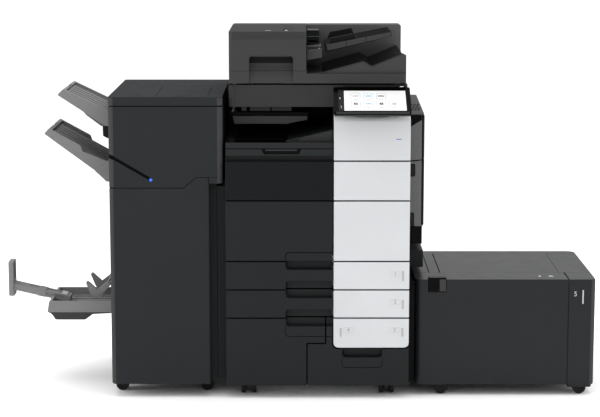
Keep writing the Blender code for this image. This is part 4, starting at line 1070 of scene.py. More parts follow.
TILT = math.radians(26.4)
TO_PANEL = Matrix.Translation((0.0, FRONT - 0.0929, 0.9717)) @ Matrix.Rotation(TILT, 4, "X")
PANEL_LONG, PANEL_THICK = 0.158, 0.016


def on_panel(piece):
    """Lays a piece built flat, with its Y up the panel, on to the leaning panel."""
    piece.data.transform(TO_PANEL)
    return piece


def glyph(name, outline, low_z, high_z, paint):
    return done(on_panel(prism(name, "Z", low_z, high_z, outline)), paint, "touch_panel", 0.0, 1)


slab = loft("v_touch_panel", "Z", [
    (0.0, rectangle(0.1265, 0.3705, 0.005, PANEL_LONG - 0.005, 0.006)),
    (0.006, rectangle(0.1225, 0.3765, 0.001, PANEL_LONG - 0.001, 0.008)),
    (PANEL_THICK, rectangle(0.1225, 0.3765, 0.001, PANEL_LONG - 0.001, 0.008)),
])
cut(slab, cutter("Z", PANEL_THICK - 0.0012, 0.05, rectangle(0.13, 0.369, 0.009, PANEL_LONG - 0.009, 0.003)))
cut(slab, cutter("Z", 0.0068, 0.0082, rectangle(0.1, 0.4, -0.01, 0.0024)))
lug = prism("lug", "X", 0.23, 0.27, rounded([(FRONT - 0.05, 0.968, 0.003), (FRONT - 0.03, 0.968, 0.003),
    (FRONT - 0.028, 1.006), (FRONT - 0.05, 0.998)], 3))
on_panel(slab)
add(slab, lug)
done(slab, "pane", "touch_panel", 0.0016, 3, "touch_panel")
lip = prism("v_touch_panel_lip", "Z", 0.001, 0.0064, rectangle(0.1235, 0.3735, -0.0006, 0.004, 0.001))
done(on_panel(lip), "graphite", "touch_panel", 0.001, 2)
bar = prism("v_touch_panel_rim", "Z", 0.009, PANEL_THICK + 0.0002,
    rectangle(0.13, 0.37, 0.0004, 0.0052, 0.0015))
done(on_panel(bar), "slate", "touch_panel", 0.0014, 3)
face = PANEL_THICK - 0.0006
pane = prism("v_touch_screen", "Z", PANEL_THICK - 0.0012, face,
    rectangle(0.1303, 0.3687, 0.0093, PANEL_LONG - 0.0093, 0.003))
done(on_panel(pane), "pane", "touch_panel", 0.0002, 1, "touch_screen")
glyph("v_display", rectangle(0.157, 0.3605, 0.0125, 0.1345, 0.0015), face - 0.0001, face + 0.0002, "screen")
glyph("v_key_strip", rectangle(0.1385, 0.156, 0.0125, 0.14, 0.0015), face - 0.0001, face + 0.0001,
    "slot_dark")
glyph("v_key_dot", rectangle(0.142, 0.145, 0.086, 0.091, 0.0012), face, face + 0.0003, "mark_white")
glyph("v_key_bar", rectangle(0.146, 0.148, 0.026, 0.042, 0.0008), face, face + 0.0003, "mark_grey")
columns = (0.1949, 0.2369, 0.2789, 0.3214)
INK = (("mark_grey", "icon_blue", "mark_dark", ""), ("icon_dark", "icon_blue", "icon_dark", "mark_grey"))
for row, v in enumerate((0.0975, 0.05)):
    for column, x in enumerate(columns):
        if not INK[row][column]:
            continue
        tag = f"{row}_{column}"
        wordy = row == 0 or column == 1  # these tiles show a wide symbol
        glyph(f"v_tile_plate_{tag}", rectangle(x - 0.0158, x + 0.0158, v - 0.015, v + 0.02, 0.006), face,
            face + 0.0003, "tile_blue" if column == 1 else "tile_edge")
        glyph(f"v_tile_face_{tag}", rectangle(x - 0.0145, x + 0.0145, v - 0.0137, v + 0.0187, 0.005), face,
            face + 0.0004, "screen")
        wide, tall = (0.0105, 0.0035) if wordy else (0.007, 0.006)
        symbol = [(x - wide, v - tall, 0.001), (x + wide, v - tall, 0.001), (x + wide * 0.8, v + tall, 0.001),
            (x - wide * 0.8, v + tall, 0.001)]
        outer = prism(f"v_tile_symbol_{tag}", "Z", face, face + 0.0006,
            rounded([(a, b + 0.004, r) for a, b, r in symbol], 3))
        for shift in (-0.004, 0.004) if wordy else (0.0,):
            cut(outer, cutter("Z", face - 0.001, face + 0.002,
                rectangle(x + shift - 0.0016, x + shift + 0.0016, v + 0.0025, v + 0.006, 0.0008)))
        done(on_panel(outer), INK[row][column], "touch_panel", 0.0)
        glyph(f"v_tile_line_{tag}", rectangle(x - 0.006, x + 0.006, v - 0.0205, v - 0.019, 0.0006), face,
            face + 0.0006, "mark_grey")

# ---------------------------------------------------------------- document feeder

FEED_FRONT, HOUSING_FRONT, FEED_REAR = FRONT + 0.047, FRONT + 0.463, FRONT + 0.545
FEED_BASE, FEED_SEAM, FEED_TOP = 1.0675, 1.1085, 1.2385
BLOCK_RIGHT = 0.034
POCKET_X = (-0.158, -0.011)

pocket = rounded([(POCKET_X[0], 1.055), (POCKET_X[1], 1.055), (POCKET_X[1], 1.159, 0.012),
    (POCKET_X[0], 1.159, 0.012)], 7)
hollow = [(FEED_FRONT - 0.01, 1.04), (FEED_FRONT + 0.007, 1.04), (FEED_FRONT + 0.007, 1.087, 0.006),
    (FEED_FRONT + 0.027, 1.126, 0.02)]
hollow += [(FEED_FRONT + 0.027, 1.157, 0.008), (FEED_FRONT - 0.01, 1.161)]


def feeder_pocket():
    tool = cutter("Y", FEED_FRONT - 0.02, FEED_FRONT + 0.0275, pocket)
    return meet(tool, cutter("X", POCKET_X[0] - 0.01, POCKET_X[1] + 0.01, rounded(hollow, 6)))


piece = cad_copy("feeder_base")
add(piece, block("fill", (POCKET_X[0] - 0.004, FEED_FRONT, FEED_BASE + 0.0001),
    (POCKET_X[1] + 0.004, FEED_FRONT + 0.0302, FEED_SEAM - 0.0005)))
cut(piece, feeder_pocket())
plan = rounded([(-0.2255, FEED_FRONT + 0.0003, 0.012), (0.3655, FEED_FRONT + 0.0003, 0.01),
    (0.3685, HOUSING_FRONT), (0.3685, FEED_REAR, 0.014), (0.288, FEED_REAR), (0.288, FEED_REAR + 0.05),
    (-0.148, FEED_REAR + 0.05), (-0.148, FEED_REAR), (-0.2255, FEED_REAR, 0.014)], 6)
meet(piece, cutter("Z", 1.0, 1.3, plan))
side_view = rounded([(-0.23, 1.05), (0.37, 1.05), (0.37, 1.2372, 0.01), (-0.23, 1.2372)], 6)
meet(piece, cutter("Y", FRONT, FRONT + 0.7, side_view))
cut(piece, parting("Y", FEED_REAR, 0.0014, -0.24, 0.38, FEED_SEAM, FEED_SEAM),
    *louvres("Y", FEED_REAR, 0.003, -0.08, 0.06, 1.15, 1.205, 7),
    parting("Z", FEED_TOP - 0.001, 0.0014, BLOCK_RIGHT + 0.006, BLOCK_RIGHT + 0.006, HOUSING_FRONT - 0.01,
    FEED_REAR + 0.01), cutter("Y", HOUSING_FRONT - 0.05, HOUSING_FRONT + 0.0012,
    ribbon([(0.12, 1.212), (0.29, 1.228), (0.345, 1.214), (0.345, 1.175)], 0.0016)),)
# its lower bar and its rear housing are of other greys
lower = hole((-0.3, FRONT, 1.0), (0.4, FRONT + 0.7, 1.0998))
add(lower, hole((-0.3, FRONT, 1.0), (BLOCK_RIGHT + 0.0008, FRONT + 0.7, 1.12)))
bar = meet(twin(piece, "v_feeder_bar"), twin(lower, "tool"))
cut(piece, lower)
cut(piece, hole((0.353, FEED_FRONT + 0.0205, 1.101), (0.39, HOUSING_FRONT - 0.0004, 1.2)))
done(bar, "graphite", "feeder", 0.0014, 3, "feeder_base")
behind = ((-0.3, HOUSING_FRONT - 0.0006, 1.0), (0.4, FRONT + 0.7, 1.3))
back = meet(twin(piece, "v_feeder_rear_housing"), hole(*behind))
cut(piece, hole(*behind))
done(back, "rear_housing", "feeder", 0.0014, 3)
done(piece, "housing", "feeder", 0.0014, 3)
slope = [(0.086, 1.1016), (0.2225, 1.1396), (0.2515, 1.1226), (0.352, 1.164), (0.352, 1.1646),
    (0.2515, 1.1234), (0.2225, 1.1404), (0.086, 1.1024)]
# near-black floor sheet: painted shade behind the front rim
done(prism("v_exit_floor", "Y", FEED_FRONT + 0.0165, HOUSING_FRONT - 0.0012, slope), "pane", "feeder", 0.0)

# the exit bay's floor: raised ribs and a light front edge
for k in range(5):
    y = FEED_FRONT + 0.04 + 0.085 * k
    done(prism(f"v_exit_rib_{k}", "Y", y, y + 0.004, [(0.086, 1.0985), (0.223, 1.138), (0.251, 1.121),
        (0.3545, 1.1645), (0.3545, 1.166), (0.251, 1.1226), (0.223, 1.1406), (0.086, 1.1012)]), "soot",
        "feeder", 0.0005, 1)
edge_line = ribbon([(0.078, 1.1002), (0.223, 1.1395), (0.251, 1.1226), (0.356, 1.1655)], 0.003)
done(prism("v_exit_floor_edge", "Y", FEED_FRONT + 0.0112, FEED_FRONT + 0.0135, edge_line), "slate", "feeder",
    0.0006, 1)

# feeding block between the cover and the trays
drive = block("v_feed_mouth", (BLOCK_RIGHT + 0.0012, FRONT + 0.33, 1.178),
    (0.0785, HOUSING_FRONT - 0.001, 1.225), 0.003)
cut(drive, cutter("Y", FRONT + 0.3, FRONT + 0.4, rectangle(0.04, 0.072, 1.184, 1.19, 0.002)),
    *[cutter("Y", FRONT + 0.3, FRONT + 0.334, rectangle(x, x + 0.003, 1.202, 1.205, 0.001))
    for x in (0.042, 0.05, 0.058)])
done(drive, "charcoal", "feeder", 0.0016, 3)
for z in (1.2255, 1.203):
    done(block(f"v_feed_mouth_edge_{round(z * 1e4)}", (BLOCK_RIGHT + 0.002, FRONT + 0.3285, z),
        (0.078, FRONT + 0.333, z + 0.0018), 0.0006), "side_grey", "feeder", 0.0004, 1)
done(prism("v_chute_face", "Y", FRONT + 0.078, FRONT + 0.08,
    rounded([(BLOCK_RIGHT + 0.0024, 1.144), (0.0805, 1.1535, 0.008), (0.0848, 1.1765, 0.002),
    (0.08, 1.179, 0.002), (BLOCK_RIGHT + 0.0024, 1.172)], 4)), "graphite", "feeder", 0.0008, 2)
patch("v_sheet_lamp", (0.0745, FRONT + 0.077, 1.18), (0.0775, FRONT + 0.079, 1.183), 0.0012, "feeder",
    "mark_grey")
for k, y in enumerate((FRONT + 0.12, FRONT + 0.39)):
    done(block(f"v_chute_fin_{k}", (BLOCK_RIGHT + 0.003, y, 1.174), (0.084, y + 0.005, 1.185), 0.002),
        "graphite", "feeder", 0.0008, 1)

# the openable cover over the rollers
piece = cad_copy("feed_cover")
add(piece, block("fill", (POCKET_X[0] - 0.004, FEED_FRONT, FEED_SEAM + 0.0005),
    (POCKET_X[1] + 0.004, FEED_FRONT + 0.0302, 1.165)))
plan = rounded([(-0.2256, FEED_FRONT + 0.0003, 0.012), (0.0326, FEED_FRONT + 0.0003, 0.005),
    (0.0326, HOUSING_FRONT), (-0.2256, HOUSING_FRONT)], 7)
meet(piece, cutter("Z", 1.0, 1.3, plan))
cut(piece, feeder_pocket())
cut(piece, cutter("Z", FEED_TOP - 0.0012, FEED_TOP + 0.01,
    ribbon([(-0.03, FEED_FRONT + 0.02), (-0.012, FEED_FRONT + 0.2), (-0.048, FEED_FRONT + 0.402)], 0.002)),
    cutter("Z", FEED_TOP - 0.006, FEED_TOP + 0.01, rounded(
    [(-0.046, FEED_FRONT + 0.05, 0.004), (-0.02, FEED_FRONT + 0.05, 0.004),
    (-0.038, FEED_FRONT + 0.23, 0.004)], 4)))
done(piece, "graphite", "feed_cover", 0.002, 3, "feed_cover")
# dark liner on the pocket's upper back wall: painted shade of a deeper pocket
deep = rounded([(POCKET_X[0] + 0.0012, 1.133), (POCKET_X[1] - 0.0012, 1.133),
    (POCKET_X[1] - 0.0012, 1.1566, 0.0105), (POCKET_X[0] + 0.0012, 1.1566, 0.0105)], 7)
done(prism("v_feed_pocket_shade", "Y", FEED_FRONT + 0.0262, FEED_FRONT + 0.0268, deep), "soot", "feed_cover",
    0.0)
visor = prism("v_feed_cover_visor", "X", -0.214, 0.0285,
    rounded([(FEED_FRONT + 0.0004, 1.214), (FEED_FRONT + 0.0122, 1.238), (FEED_FRONT + 0.0135, 1.2376),
    (FEED_FRONT + 0.001, 1.2134)], 3))
visor.data.transform(Matrix.Translation((0.0, -0.0006, 0.0003)))
done(visor, "slate", "feed_cover", 0.0)
patch("v_feed_cover_tag", (-0.105, FEED_FRONT + 0.06, FEED_TOP - 0.0004),
    (-0.085, FEED_FRONT + 0.07, FEED_TOP + 0.0005), 0.003, "feed_cover", "mark_grey", "Z")
prism_mark = rounded([(-0.044, FEED_FRONT + 0.06, 0.002), (-0.024, FEED_FRONT + 0.06, 0.002),
    (-0.036, FEED_FRONT + 0.19, 0.002)], 4)
done(prism("v_feed_cover_arrow", "Z", FEED_TOP - 0.0062, FEED_TOP - 0.002, prism_mark), "side_grey",
    "feed_cover", 0.0004, 1)
for k, y in enumerate((FRONT + 0.14, FRONT + 0.25, FRONT + 0.36)):
    done(block(f"v_cover_rib_{k}", (-0.2165, y, 1.208), (0.02, y + 0.004, 1.2266), axis="Z"), "charcoal",
        "feed_cover", 0.0006, 1)

# separation rollers on the feed shaft, and pinch rollers under them
axis_y, axis_z = FRONT + 0.253, 1.15
half = [(0.0034, 0.1745), (0.004, 0.1735), (0.004, 0.15), (0.011, 0.1485), (0.014, 0.1455)]
middle = []
for centre in (0.1, 0.0, -0.1):
    middle += [(0.014, centre + 0.03), (0.0062, centre + 0.028), (0.0062, centre + 0.024),
        (0.014, centre + 0.022)]
profile = half + middle[:4] + [(0.014, 0.04), (0.014, 0.024), (0.0062, 0.022), (0.0062, -0.022),
    (0.014, -0.024), (0.014, -0.04)]
profile += [(r, -d) for r, d in reversed(half + middle[:4])]
profile = [point for k, point in enumerate(profile) if k == 0 or point[1] < profile[k - 1][1] + 1e-9]
done(turned("v_feed_roller", "Y", (-0.05, axis_y, axis_z), profile, 40), "rubber", "feed_roller", 0.0, 1,
    "feed_roller")
for k, x in enumerate((-0.15, -0.1, 0.0)):
    done(rod(f"v_pinch_shaft_{k}", "Y", (x, axis_y, 1.118), 0.004, 0.32, 20), "bright", "feeder", 0.0006, 1)
    for j, y in enumerate((axis_y - 0.09, axis_y, axis_y + 0.09)):
        done(rod(f"v_pinch_roller_{k}_{j}", "Y", (x, y, 1.118), 0.0075, 0.03, 28), "rubber", "feeder")

# document tray and its sliding guides
tray_x, tray_z, tray_y = (0.098, 0.32), (1.187, 1.2315), (FRONT + 0.11, FRONT + 0.435)
rise = (tray_z[1] - tray_z[0]) / (tray_x[1] - tray_x[0])


def on_tray(x, up):
    return (x, tray_z[0] + (x - tray_x[0]) * rise + up)


piece = cad_copy("document_tray")
plan = rounded([(0.0975, tray_y[0] + 0.0003, 0.003), (0.3198, tray_y[0] + 0.0003, 0.018),
    (0.3198, tray_y[1] - 0.0003, 0.018), (0.0975, tray_y[1])], 6)
meet(piece, cutter("Z", 1.1, 1.3, plan))
breaks = []
for x in (0.108, 0.146, 0.205, 0.212):
    low, high = on_tray(x, -0.03), on_tray(x, 0.004)
    breaks.append(cutter("Y", tray_y[0] - 0.01, tray_y[0] + 0.003,
        ribbon([low, (high[0] + 0.002, high[1])], 0.0018)))
cut(piece, *breaks)
slot = [on_tray(0.116, -0.003), on_tray(0.196, -0.003), on_tray(0.196, 0.01), on_tray(0.116, 0.01)]
cut(piece, *[cutter("Y", y - 0.004, y + 0.004, slot) for y in (tray_y[0] + 0.06, tray_y[0] + 0.265)])
done(piece, "soot", "document_tray", 0.0014, 2, "document_tray")
lit = rounded([
    (*on_tray(0.104, -0.0165), 0.002), (*on_tray(0.316, -0.011), 0.003), (*on_tray(0.318, 0.003), 0.002),
    (*on_tray(0.1, 0.0045), 0.002)], 3)
strip = prism("v_tray_front_strip", "Y", tray_y[0] - 0.0012, tray_y[0] + 0.001, lit)
cut(strip, *[cutter("Y", tray_y[0] - 0.01, tray_y[0] + 0.01,
    ribbon([on_tray(x - 0.001, -0.03), on_tray(x + 0.001, 0.01)], 0.002)) for x in (0.166, 0.233)])
done(strip, "graphite", "document_tray", 0.0004, 1)
for k in range(6):
    y = tray_y[0] + 0.035 + 0.05 * k
    done(prism(f"v_tray_rib_{k}", "Y", y, y + 0.003, [on_tray(0.205, -0.0005), on_tray(0.312, -0.0005),
        on_tray(0.31, 0.001), on_tray(0.207, 0.001)]), "soot", "document_tray", 0.0003, 1)
for node in ("guide_front", "guide_rear"):
    low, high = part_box(node)
    piece = cad_copy(node)
    cut(piece, hole((low.x + 0.01, low.y - 0.01, high.z - 0.004),
        (low.x + 0.03, high.y + 0.01, high.z + 0.01), 0.003))
    done(piece, "soot", node, 0.001, 2, node)
    inward = 1.0 if node == "guide_front" else -1.0
    y = (high.y - 0.001) if inward > 0 else (low.y + 0.001)
    near, far = sorted((y, y + inward * 0.02))
    done(prism(f"v_{node}_foot", "Y", near, far, [on_tray(0.112, 0.001), on_tray(0.196, 0.001),
        on_tray(0.195, 0.0026), on_tray(0.113, 0.0026)]), "black", node, 0.0006, 1)

# hinges that the feeder opens on
for side, x in (("left", -0.13), ("right", 0.27)):
    done(rod(f"v_feeder_hinge_pin_{side}", "X", (x, FRONT + 0.575, 1.083), 0.0055, 0.06, 24), "bright",
        "machine", 0.001, 2)
    done(block(f"v_feeder_hinge_cap_{side}", (x - 0.016, FEED_REAR + 0.002, 1.0985),
        (x + 0.016, FRONT + 0.588, 1.106), 0.004, axis="X"), "black", "feeder", 0.0014, 2)
done(block("v_platen_pad", (-0.205, FRONT + 0.085, 1.064), (0.35, FRONT + 0.53, 1.0676), 0.006, axis="Z"),
    "mark_white", "feeder")

# ---------------------------------------------------------------- finisher

FIN_LEFT, FIN_RIGHT = -0.627, -0.247
FIN_FRONT, FIN_REAR = FRONT + 0.014, FRONT + 0.655
FIN_BASE, FIN_SEAM, FIN_TOP = 0.0462, 0.995, 1.025
FIN_STRIP = -0.292
CORNER = 0.017


def upright(low_z, high_z, left, right, front, rear, radii, steps=8):
    """A cutter with rounded upright corners: front left, front right, rear right, rear left."""
    corners = ((left, front), (right, front), (right, rear), (left, rear))
    return cutter("Z", low_z, high_z, rounded([(x, y, r) for (x, y), r in zip(corners, radii)], steps))


def rounded_plan(piece, *plan):
    """Rounds the piece's upright corners to the plan."""
    return meet(piece, upright(-0.1, 1.4, *plan))


def rim(low_z, high_z):
    """A cutter for a shadow line round the finisher."""
    deep, out = 0.006, 0.02
    inner = (FIN_LEFT + deep, FIN_RIGHT - deep, FIN_FRONT + deep, FIN_REAR - deep)
    outer = hole((FIN_LEFT - out, FIN_FRONT - out, low_z), (FIN_RIGHT + out, FIN_REAR + out, high_z),
        axis="Z")
    return cut(outer, upright(low_z - 0.01, high_z + 0.01, *inner, (CORNER - deep, 0.01, 0.006, 0.006), 6))


fin_plan = (FIN_LEFT + 0.0002, FIN_RIGHT - 0.0002, FIN_FRONT + 0.0002, FIN_REAR - 0.0002,
    (CORNER, 0.014, 0.01, 0.01))
bend_path = bent([(FIN_LEFT - 0.02, 0.836), (-0.61, 0.821, 0.03), (-0.4936, 0.7527), (-0.489, 0.75)], 6)


def light_channel():
    """The cutter for the lit groove over the door."""
    return cutter("Y", FIN_FRONT - 0.02, FIN_FRONT + 0.014, ribbon(bend_path, 0.014, 0.0096))


piece = cad_copy("finisher_housing")
rounded_plan(piece, *fin_plan)
cut(piece, rim(FIN_SEAM - 0.0028, FIN_SEAM + 0.001))
cut(piece, light_channel())
cut(
    piece,
    groove([(FIN_STRIP - 0.001, 0.7567), (FIN_RIGHT + 0.02, 0.7567)], 0.0018, 0.003, FIN_FRONT),
    parting("X", FIN_LEFT, 0.0014, FIN_FRONT + 0.12, FIN_FRONT + 0.12, 0.06, 0.8),
    *louvres("X", FIN_LEFT, 0.0035, FRONT + 0.52, FRONT + 0.62, 0.13, 0.24, 12),
    parting("X", FIN_LEFT, 0.0014, FRONT + 0.04, FIN_REAR + 0.01, 0.495, 0.495),
    *louvres("Y", FIN_REAR, 0.0035, -0.56, -0.4, 0.83, 0.93, 10),
    parting("Y", FIN_REAR, 0.0014, FIN_LEFT - 0.01, FIN_RIGHT + 0.01, 0.74, 0.74),
    hole((-0.48, FIN_REAR - 0.01, 0.56), (-0.4, FIN_REAR + 0.01, 0.6), 0.012),
    *louvres("Y", FIN_REAR, 0.0035, -0.59, -0.48, 0.12, 0.22, 10),
)
done(piece, "finisher", "machine", 0.0016, 3, "finisher_housing")
strip_in = bent([(FIN_LEFT + 0.002, 0.827), (-0.61, 0.821, 0.03), (-0.4936, 0.7527), (-0.4895, 0.7503)], 6)
done(prism("v_fin_light_channel", "Y", FIN_FRONT + 0.0075, FIN_FRONT + 0.0136,
    ribbon(strip_in, 0.0136, 0.0092)), "bezel", "machine", 0.0)
done(turned("v_fin_lamp", "Y", (-0.4863, FIN_FRONT + 0.006, 0.7472),
    [(0.0056, 0.0), (0.0056, -0.005), (0.0046, -0.0064), (0.0, -0.0072)], 28), "blue_led", "machine", 0.0)
for k, (x, z) in enumerate(((-0.6, 0.075), (-0.6, 0.965), (-0.275, 0.965), (-0.3, 0.075), (-0.6, 0.722),
        (-0.3, 0.757))):
    screw(f"v_fin_rear_screw_{k}", "Y", (x, FIN_REAR - 0.0004, z), "machine")


def highlight_strip(name, side, front, low_z, high_z, owner, reach=0.015, inward=1.0, width=0.017, tools=()):
    """A lighter strip on a cabinet's rounded upright edge, painted as the highlight that edge catches."""
    out, into = side - inward * 0.0003, side + inward * 0.001
    end = side + inward * width
    outline = rounded([(end, front - 0.0002), (out, front - 0.0002, reach), (out, front + width + 0.002),
        (into, front + width + 0.002), (into, front + 0.0012, reach - 0.0012), (end, front + 0.0012)], 8)
    piece = prism(name, "Z", low_z, high_z, outline)
    cut(piece, *tools)
    done(piece, "graphite", owner, 0.0004, 1)


# painted highlights down the finisher's rounded corners
highlight_strip("v_fin_edge_left", FIN_LEFT, FIN_FRONT, 0.7222, FIN_SEAM - 0.003, "machine", tools=(light_channel(),))
highlight_strip("v_fin_edge_right", FIN_RIGHT, FIN_FRONT, 0.7362, FIN_SEAM - 0.003, "machine", 0.013, -1.0)
highlight_strip("v_fin_edge_top_left", FIN_LEFT, FIN_FRONT, FIN_SEAM + 0.0016, FIN_TOP - 0.0024, "machine")
highlight_strip("v_fin_edge_top_right", FIN_RIGHT, FIN_FRONT, FIN_SEAM + 0.0016, FIN_TOP - 0.0024, "machine", 0.013,
    -1.0)
highlight_strip("v_fin_edge_door", FIN_LEFT, FIN_FRONT, FIN_BASE + 0.004, 0.7176, "finisher_door", width=0.014)

# exits on its left side: rollers just inside, and a frame round each
for k, (low_z, high_z) in enumerate(((0.27, 0.345), (0.8, 0.86), (0.925, 0.975))):
    frame_piece = block(f"v_exit_frame_{k}", (FIN_LEFT - 0.0004, FRONT + 0.174, low_z - 0.006),
        (FIN_LEFT + 0.003, FRONT + 0.476, high_z + 0.006), 0.003, axis="X")
    cut(frame_piece, hole((FIN_LEFT - 0.01, FRONT + 0.1798, low_z), (FIN_LEFT + 0.01, FRONT + 0.4702, high_z),
        axis="X"))
    done(frame_piece, "black", "machine", 0.0006, 2)
    for j, z in enumerate((low_z + 0.012, low_z + 0.03)):
        done(rod(f"v_exit_shaft_{k}_{j}", "Y", (FIN_LEFT + 0.026, FRONT + 0.325, z), 0.0035, 0.3, 16),
            "bright", "machine", 0.0004, 1)
        for i in range(4):
            done(rod(f"v_exit_tyre_{k}_{j}_{i}", "Y", (FIN_LEFT + 0.026, FRONT + 0.22 + 0.07 * i, z), 0.0085,
                0.018, 24), "rubber", "machine", 0.001, 2)

# top cover and its door
piece = cad_copy("finisher_top_cover")
rounded_plan(piece, *fin_plan)
cut(piece, rim(FIN_SEAM - 0.001, FIN_SEAM + 0.0012))
ticks = [ribbon([(-0.539, FIN_FRONT + 0.03), (-0.533, FIN_FRONT + 0.09)], 0.0022),
    ribbon([(-0.318, FIN_FRONT + 0.022), (-0.292, FIN_FRONT + 0.034)], 0.0022)]
cut(piece, *[cutter("Z", FIN_TOP - 0.0016, FIN_TOP + 0.01, tick) for tick in ticks])
done(piece, "finisher", "machine", 0.003, 3, "finisher_top_cover")
low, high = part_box("finisher_top_door")
like_cad("finisher_top_door", "finisher", 0.0014, 2, cuts=[
    hole((-0.41, low.y - 0.01, high.z - 0.01), (-0.356, low.y + 0.014, high.z + 0.01), 0.006, axis="Z")])

# front door, with its lining and latch
outline = rounded([(FIN_LEFT + 0.0003, FIN_BASE + 0.0004, 0.006),
    (FIN_STRIP - 0.0006, FIN_BASE + 0.0004, 0.003), (FIN_STRIP - 0.0006, 0.755, 0.002),
    (-0.3345, 0.755, 0.006), (-0.3785, 0.7184, 0.006), (FIN_LEFT + 0.0003, 0.7184, 0.002)], 4)
piece = prism("v_finisher_door", "Y", FIN_FRONT, FRONT + 0.0395, outline)
rounded_plan(piece, FIN_LEFT + 0.0002, FIN_STRIP - 0.0002, FIN_FRONT + 0.0001, FRONT + 0.06,
    (CORNER, 0.006, 0.0, 0.0))
done(piece, "finisher", "finisher_door", 0.0014, 3, "finisher_door")
inner = block("v_finisher_door_lining", (FIN_LEFT + 0.02, FRONT + 0.0385, FIN_BASE + 0.02),
    (FIN_STRIP - 0.012, FRONT + 0.0402, 0.705), 0.01)
cut(inner, *[cutter("Y", FRONT + 0.0396, FRONT + 0.05, rectangle(-0.59, -0.32, z, z + 0.085, 0.008))
    for z in (0.09, 0.195, 0.3, 0.405, 0.51, 0.6)])
done(inner, "graphite", "finisher_door", 0.0003, 1)
done(block("v_finisher_door_latch", (FIN_STRIP - 0.012, FRONT + 0.0388, 0.4),
    (FIN_STRIP - 0.004, FRONT + 0.0404, 0.44), 0.003), "black", "finisher_door", 0.0006, 1)

# stapling and folding units behind the door
staple = block("v_staple_unit", (-0.6, FRONT + 0.07, 0.56), (-0.33, FRONT + 0.56, 0.69), 0.012)
cut(staple, hole((-0.56, FRONT + 0.06, 0.585), (-0.44, FRONT + 0.074, 0.66), 0.008),
    parting("Y", FRONT + 0.07, 0.0014, -0.61, -0.32, 0.575, 0.575))
done(staple, "graphite", "machine", 0.003, 3)
fold = block("v_fold_unit", (-0.6, FRONT + 0.07, 0.1), (-0.33, FRONT + 0.56, 0.25), 0.012)
cut(fold, *louvres("Y", FRONT + 0.07, 0.004, -0.46, -0.35, 0.13, 0.22, 7))
done(fold, "graphite", "machine", 0.003, 3)
for k, (x, z) in enumerate(((-0.56, 0.5), (-0.5, 0.44), (-0.4, 0.34), (-0.54, 0.33))):
    knob = turned(f"v_jam_knob_{k}", "Y", (x, FRONT + 0.09, z),
        [(0.0, 0.03), (0.006, 0.03), (0.006, 0.004), (0.02, 0.003), (0.02, -0.009), (0.018, -0.011),
        (0.0, -0.011)], 32)
    add(knob, block("bar", (x - 0.003, FRONT + 0.07, z - 0.015), (x + 0.003, FRONT + 0.082, z + 0.015),
        0.002))
    done(knob, "lever_green", "machine", 0.0008, 2)
plate = block("v_fin_inner_plate", (-0.613, FRONT + 0.12, 0.064), (-0.298, FRONT + 0.123, 0.71), 0.004)
cut(plate, hole((-0.602, FRONT + 0.11, 0.098), (-0.328, FRONT + 0.13, 0.252), 0.01),
    hole((-0.602, FRONT + 0.11, 0.558), (-0.328, FRONT + 0.13, 0.692), 0.01))
done(plate, "steel", "machine", 0.0003, 1)

# ---------------------------------------------------------------- output trays

TRAY_Y = (FRONT + 0.17, FRONT + 0.48)


def along(a, b):
    """Points by their share of the way from a to b, and their height over that line."""
    a, b = Vector(a), Vector(b)
    way = b - a
    up = Vector((-way.y, way.x)).normalized()
    if up.y < 0:
        up = -up
    return lambda share, height=0.0: tuple(a + way * share + up * height)


def tray(name, node, owner, tip, top, outline, wall, deep, step=None):
    """A tray with raised side walls, a ribbed floor, a curled tip and a lower inner end."""
    at = along(tip, top)
    piece = prism(name, "Y", TRAY_Y[0], TRAY_Y[1], rounded(outline, 5))
    bed = [at(0.055, -deep), at(1.1, -deep), at(1.1, 0.03), at(0.03, 0.03)]
    cut(piece, cutter("Y", TRAY_Y[0] + wall, TRAY_Y[1] - wall, bed))
    if step:
        notch = rounded([(*at(step[0], 0.001), 0.0), (*at(step[1], -step[2]), 0.012),
            (*at(0.94, -0.004), 0.004), at(0.955, 0.04), at(step[0] - 0.02, 0.04)], 6)
        lowered = rounded([(*at(step[0], 0.001), 0.0), (*at(step[1], -step[2]), 0.012), at(1.1, -step[2]),
            at(1.1, 0.04), at(step[0] - 0.02, 0.04)], 6)
        cut(piece, cutter("Y", TRAY_Y[0] - 0.01, TRAY_Y[0] + wall + 0.001, notch),
            cutter("Y", TRAY_Y[0] + wall, TRAY_Y[1] + 0.01, lowered))
    cut(piece, cutter("Y", TRAY_Y[0] + 0.11, TRAY_Y[1] - 0.11,
        rounded([(*at(-0.06, 0.02), 0.0), (*at(0.045, 0.02), 0.0), (*at(0.03, -0.016), 0.008),
        (*at(-0.06, -0.03), 0.0)], 5)))
    done(piece, "tray_grey", owner, 0.003, 3, node)
    floor_end = 0.985
    done(prism(name + "_floor", "Y", TRAY_Y[0] + wall + 0.0006, TRAY_Y[1] - wall - 0.0006,
        [at(0.075, -deep - 0.0002), at(floor_end, -deep - 0.0002), at(floor_end, -deep + 0.0012),
        at(0.075, -deep + 0.0012)]), "tray_floor", owner, 0.0003, 1)
    for k in range(6):
        y = TRAY_Y[0] + wall + 0.02 + (TRAY_Y[1] - TRAY_Y[0] - 2 * wall - 0.044) * k / 5
        done(prism(f"{name}_rib_{k}", "Y", y, y + 0.004, [at(0.09, -deep), at(floor_end - 0.01, -deep),
            at(floor_end - 0.02, -deep + 0.0034), at(0.11, -deep + 0.0034)]), "tray_floor", owner, 0.0006, 1)


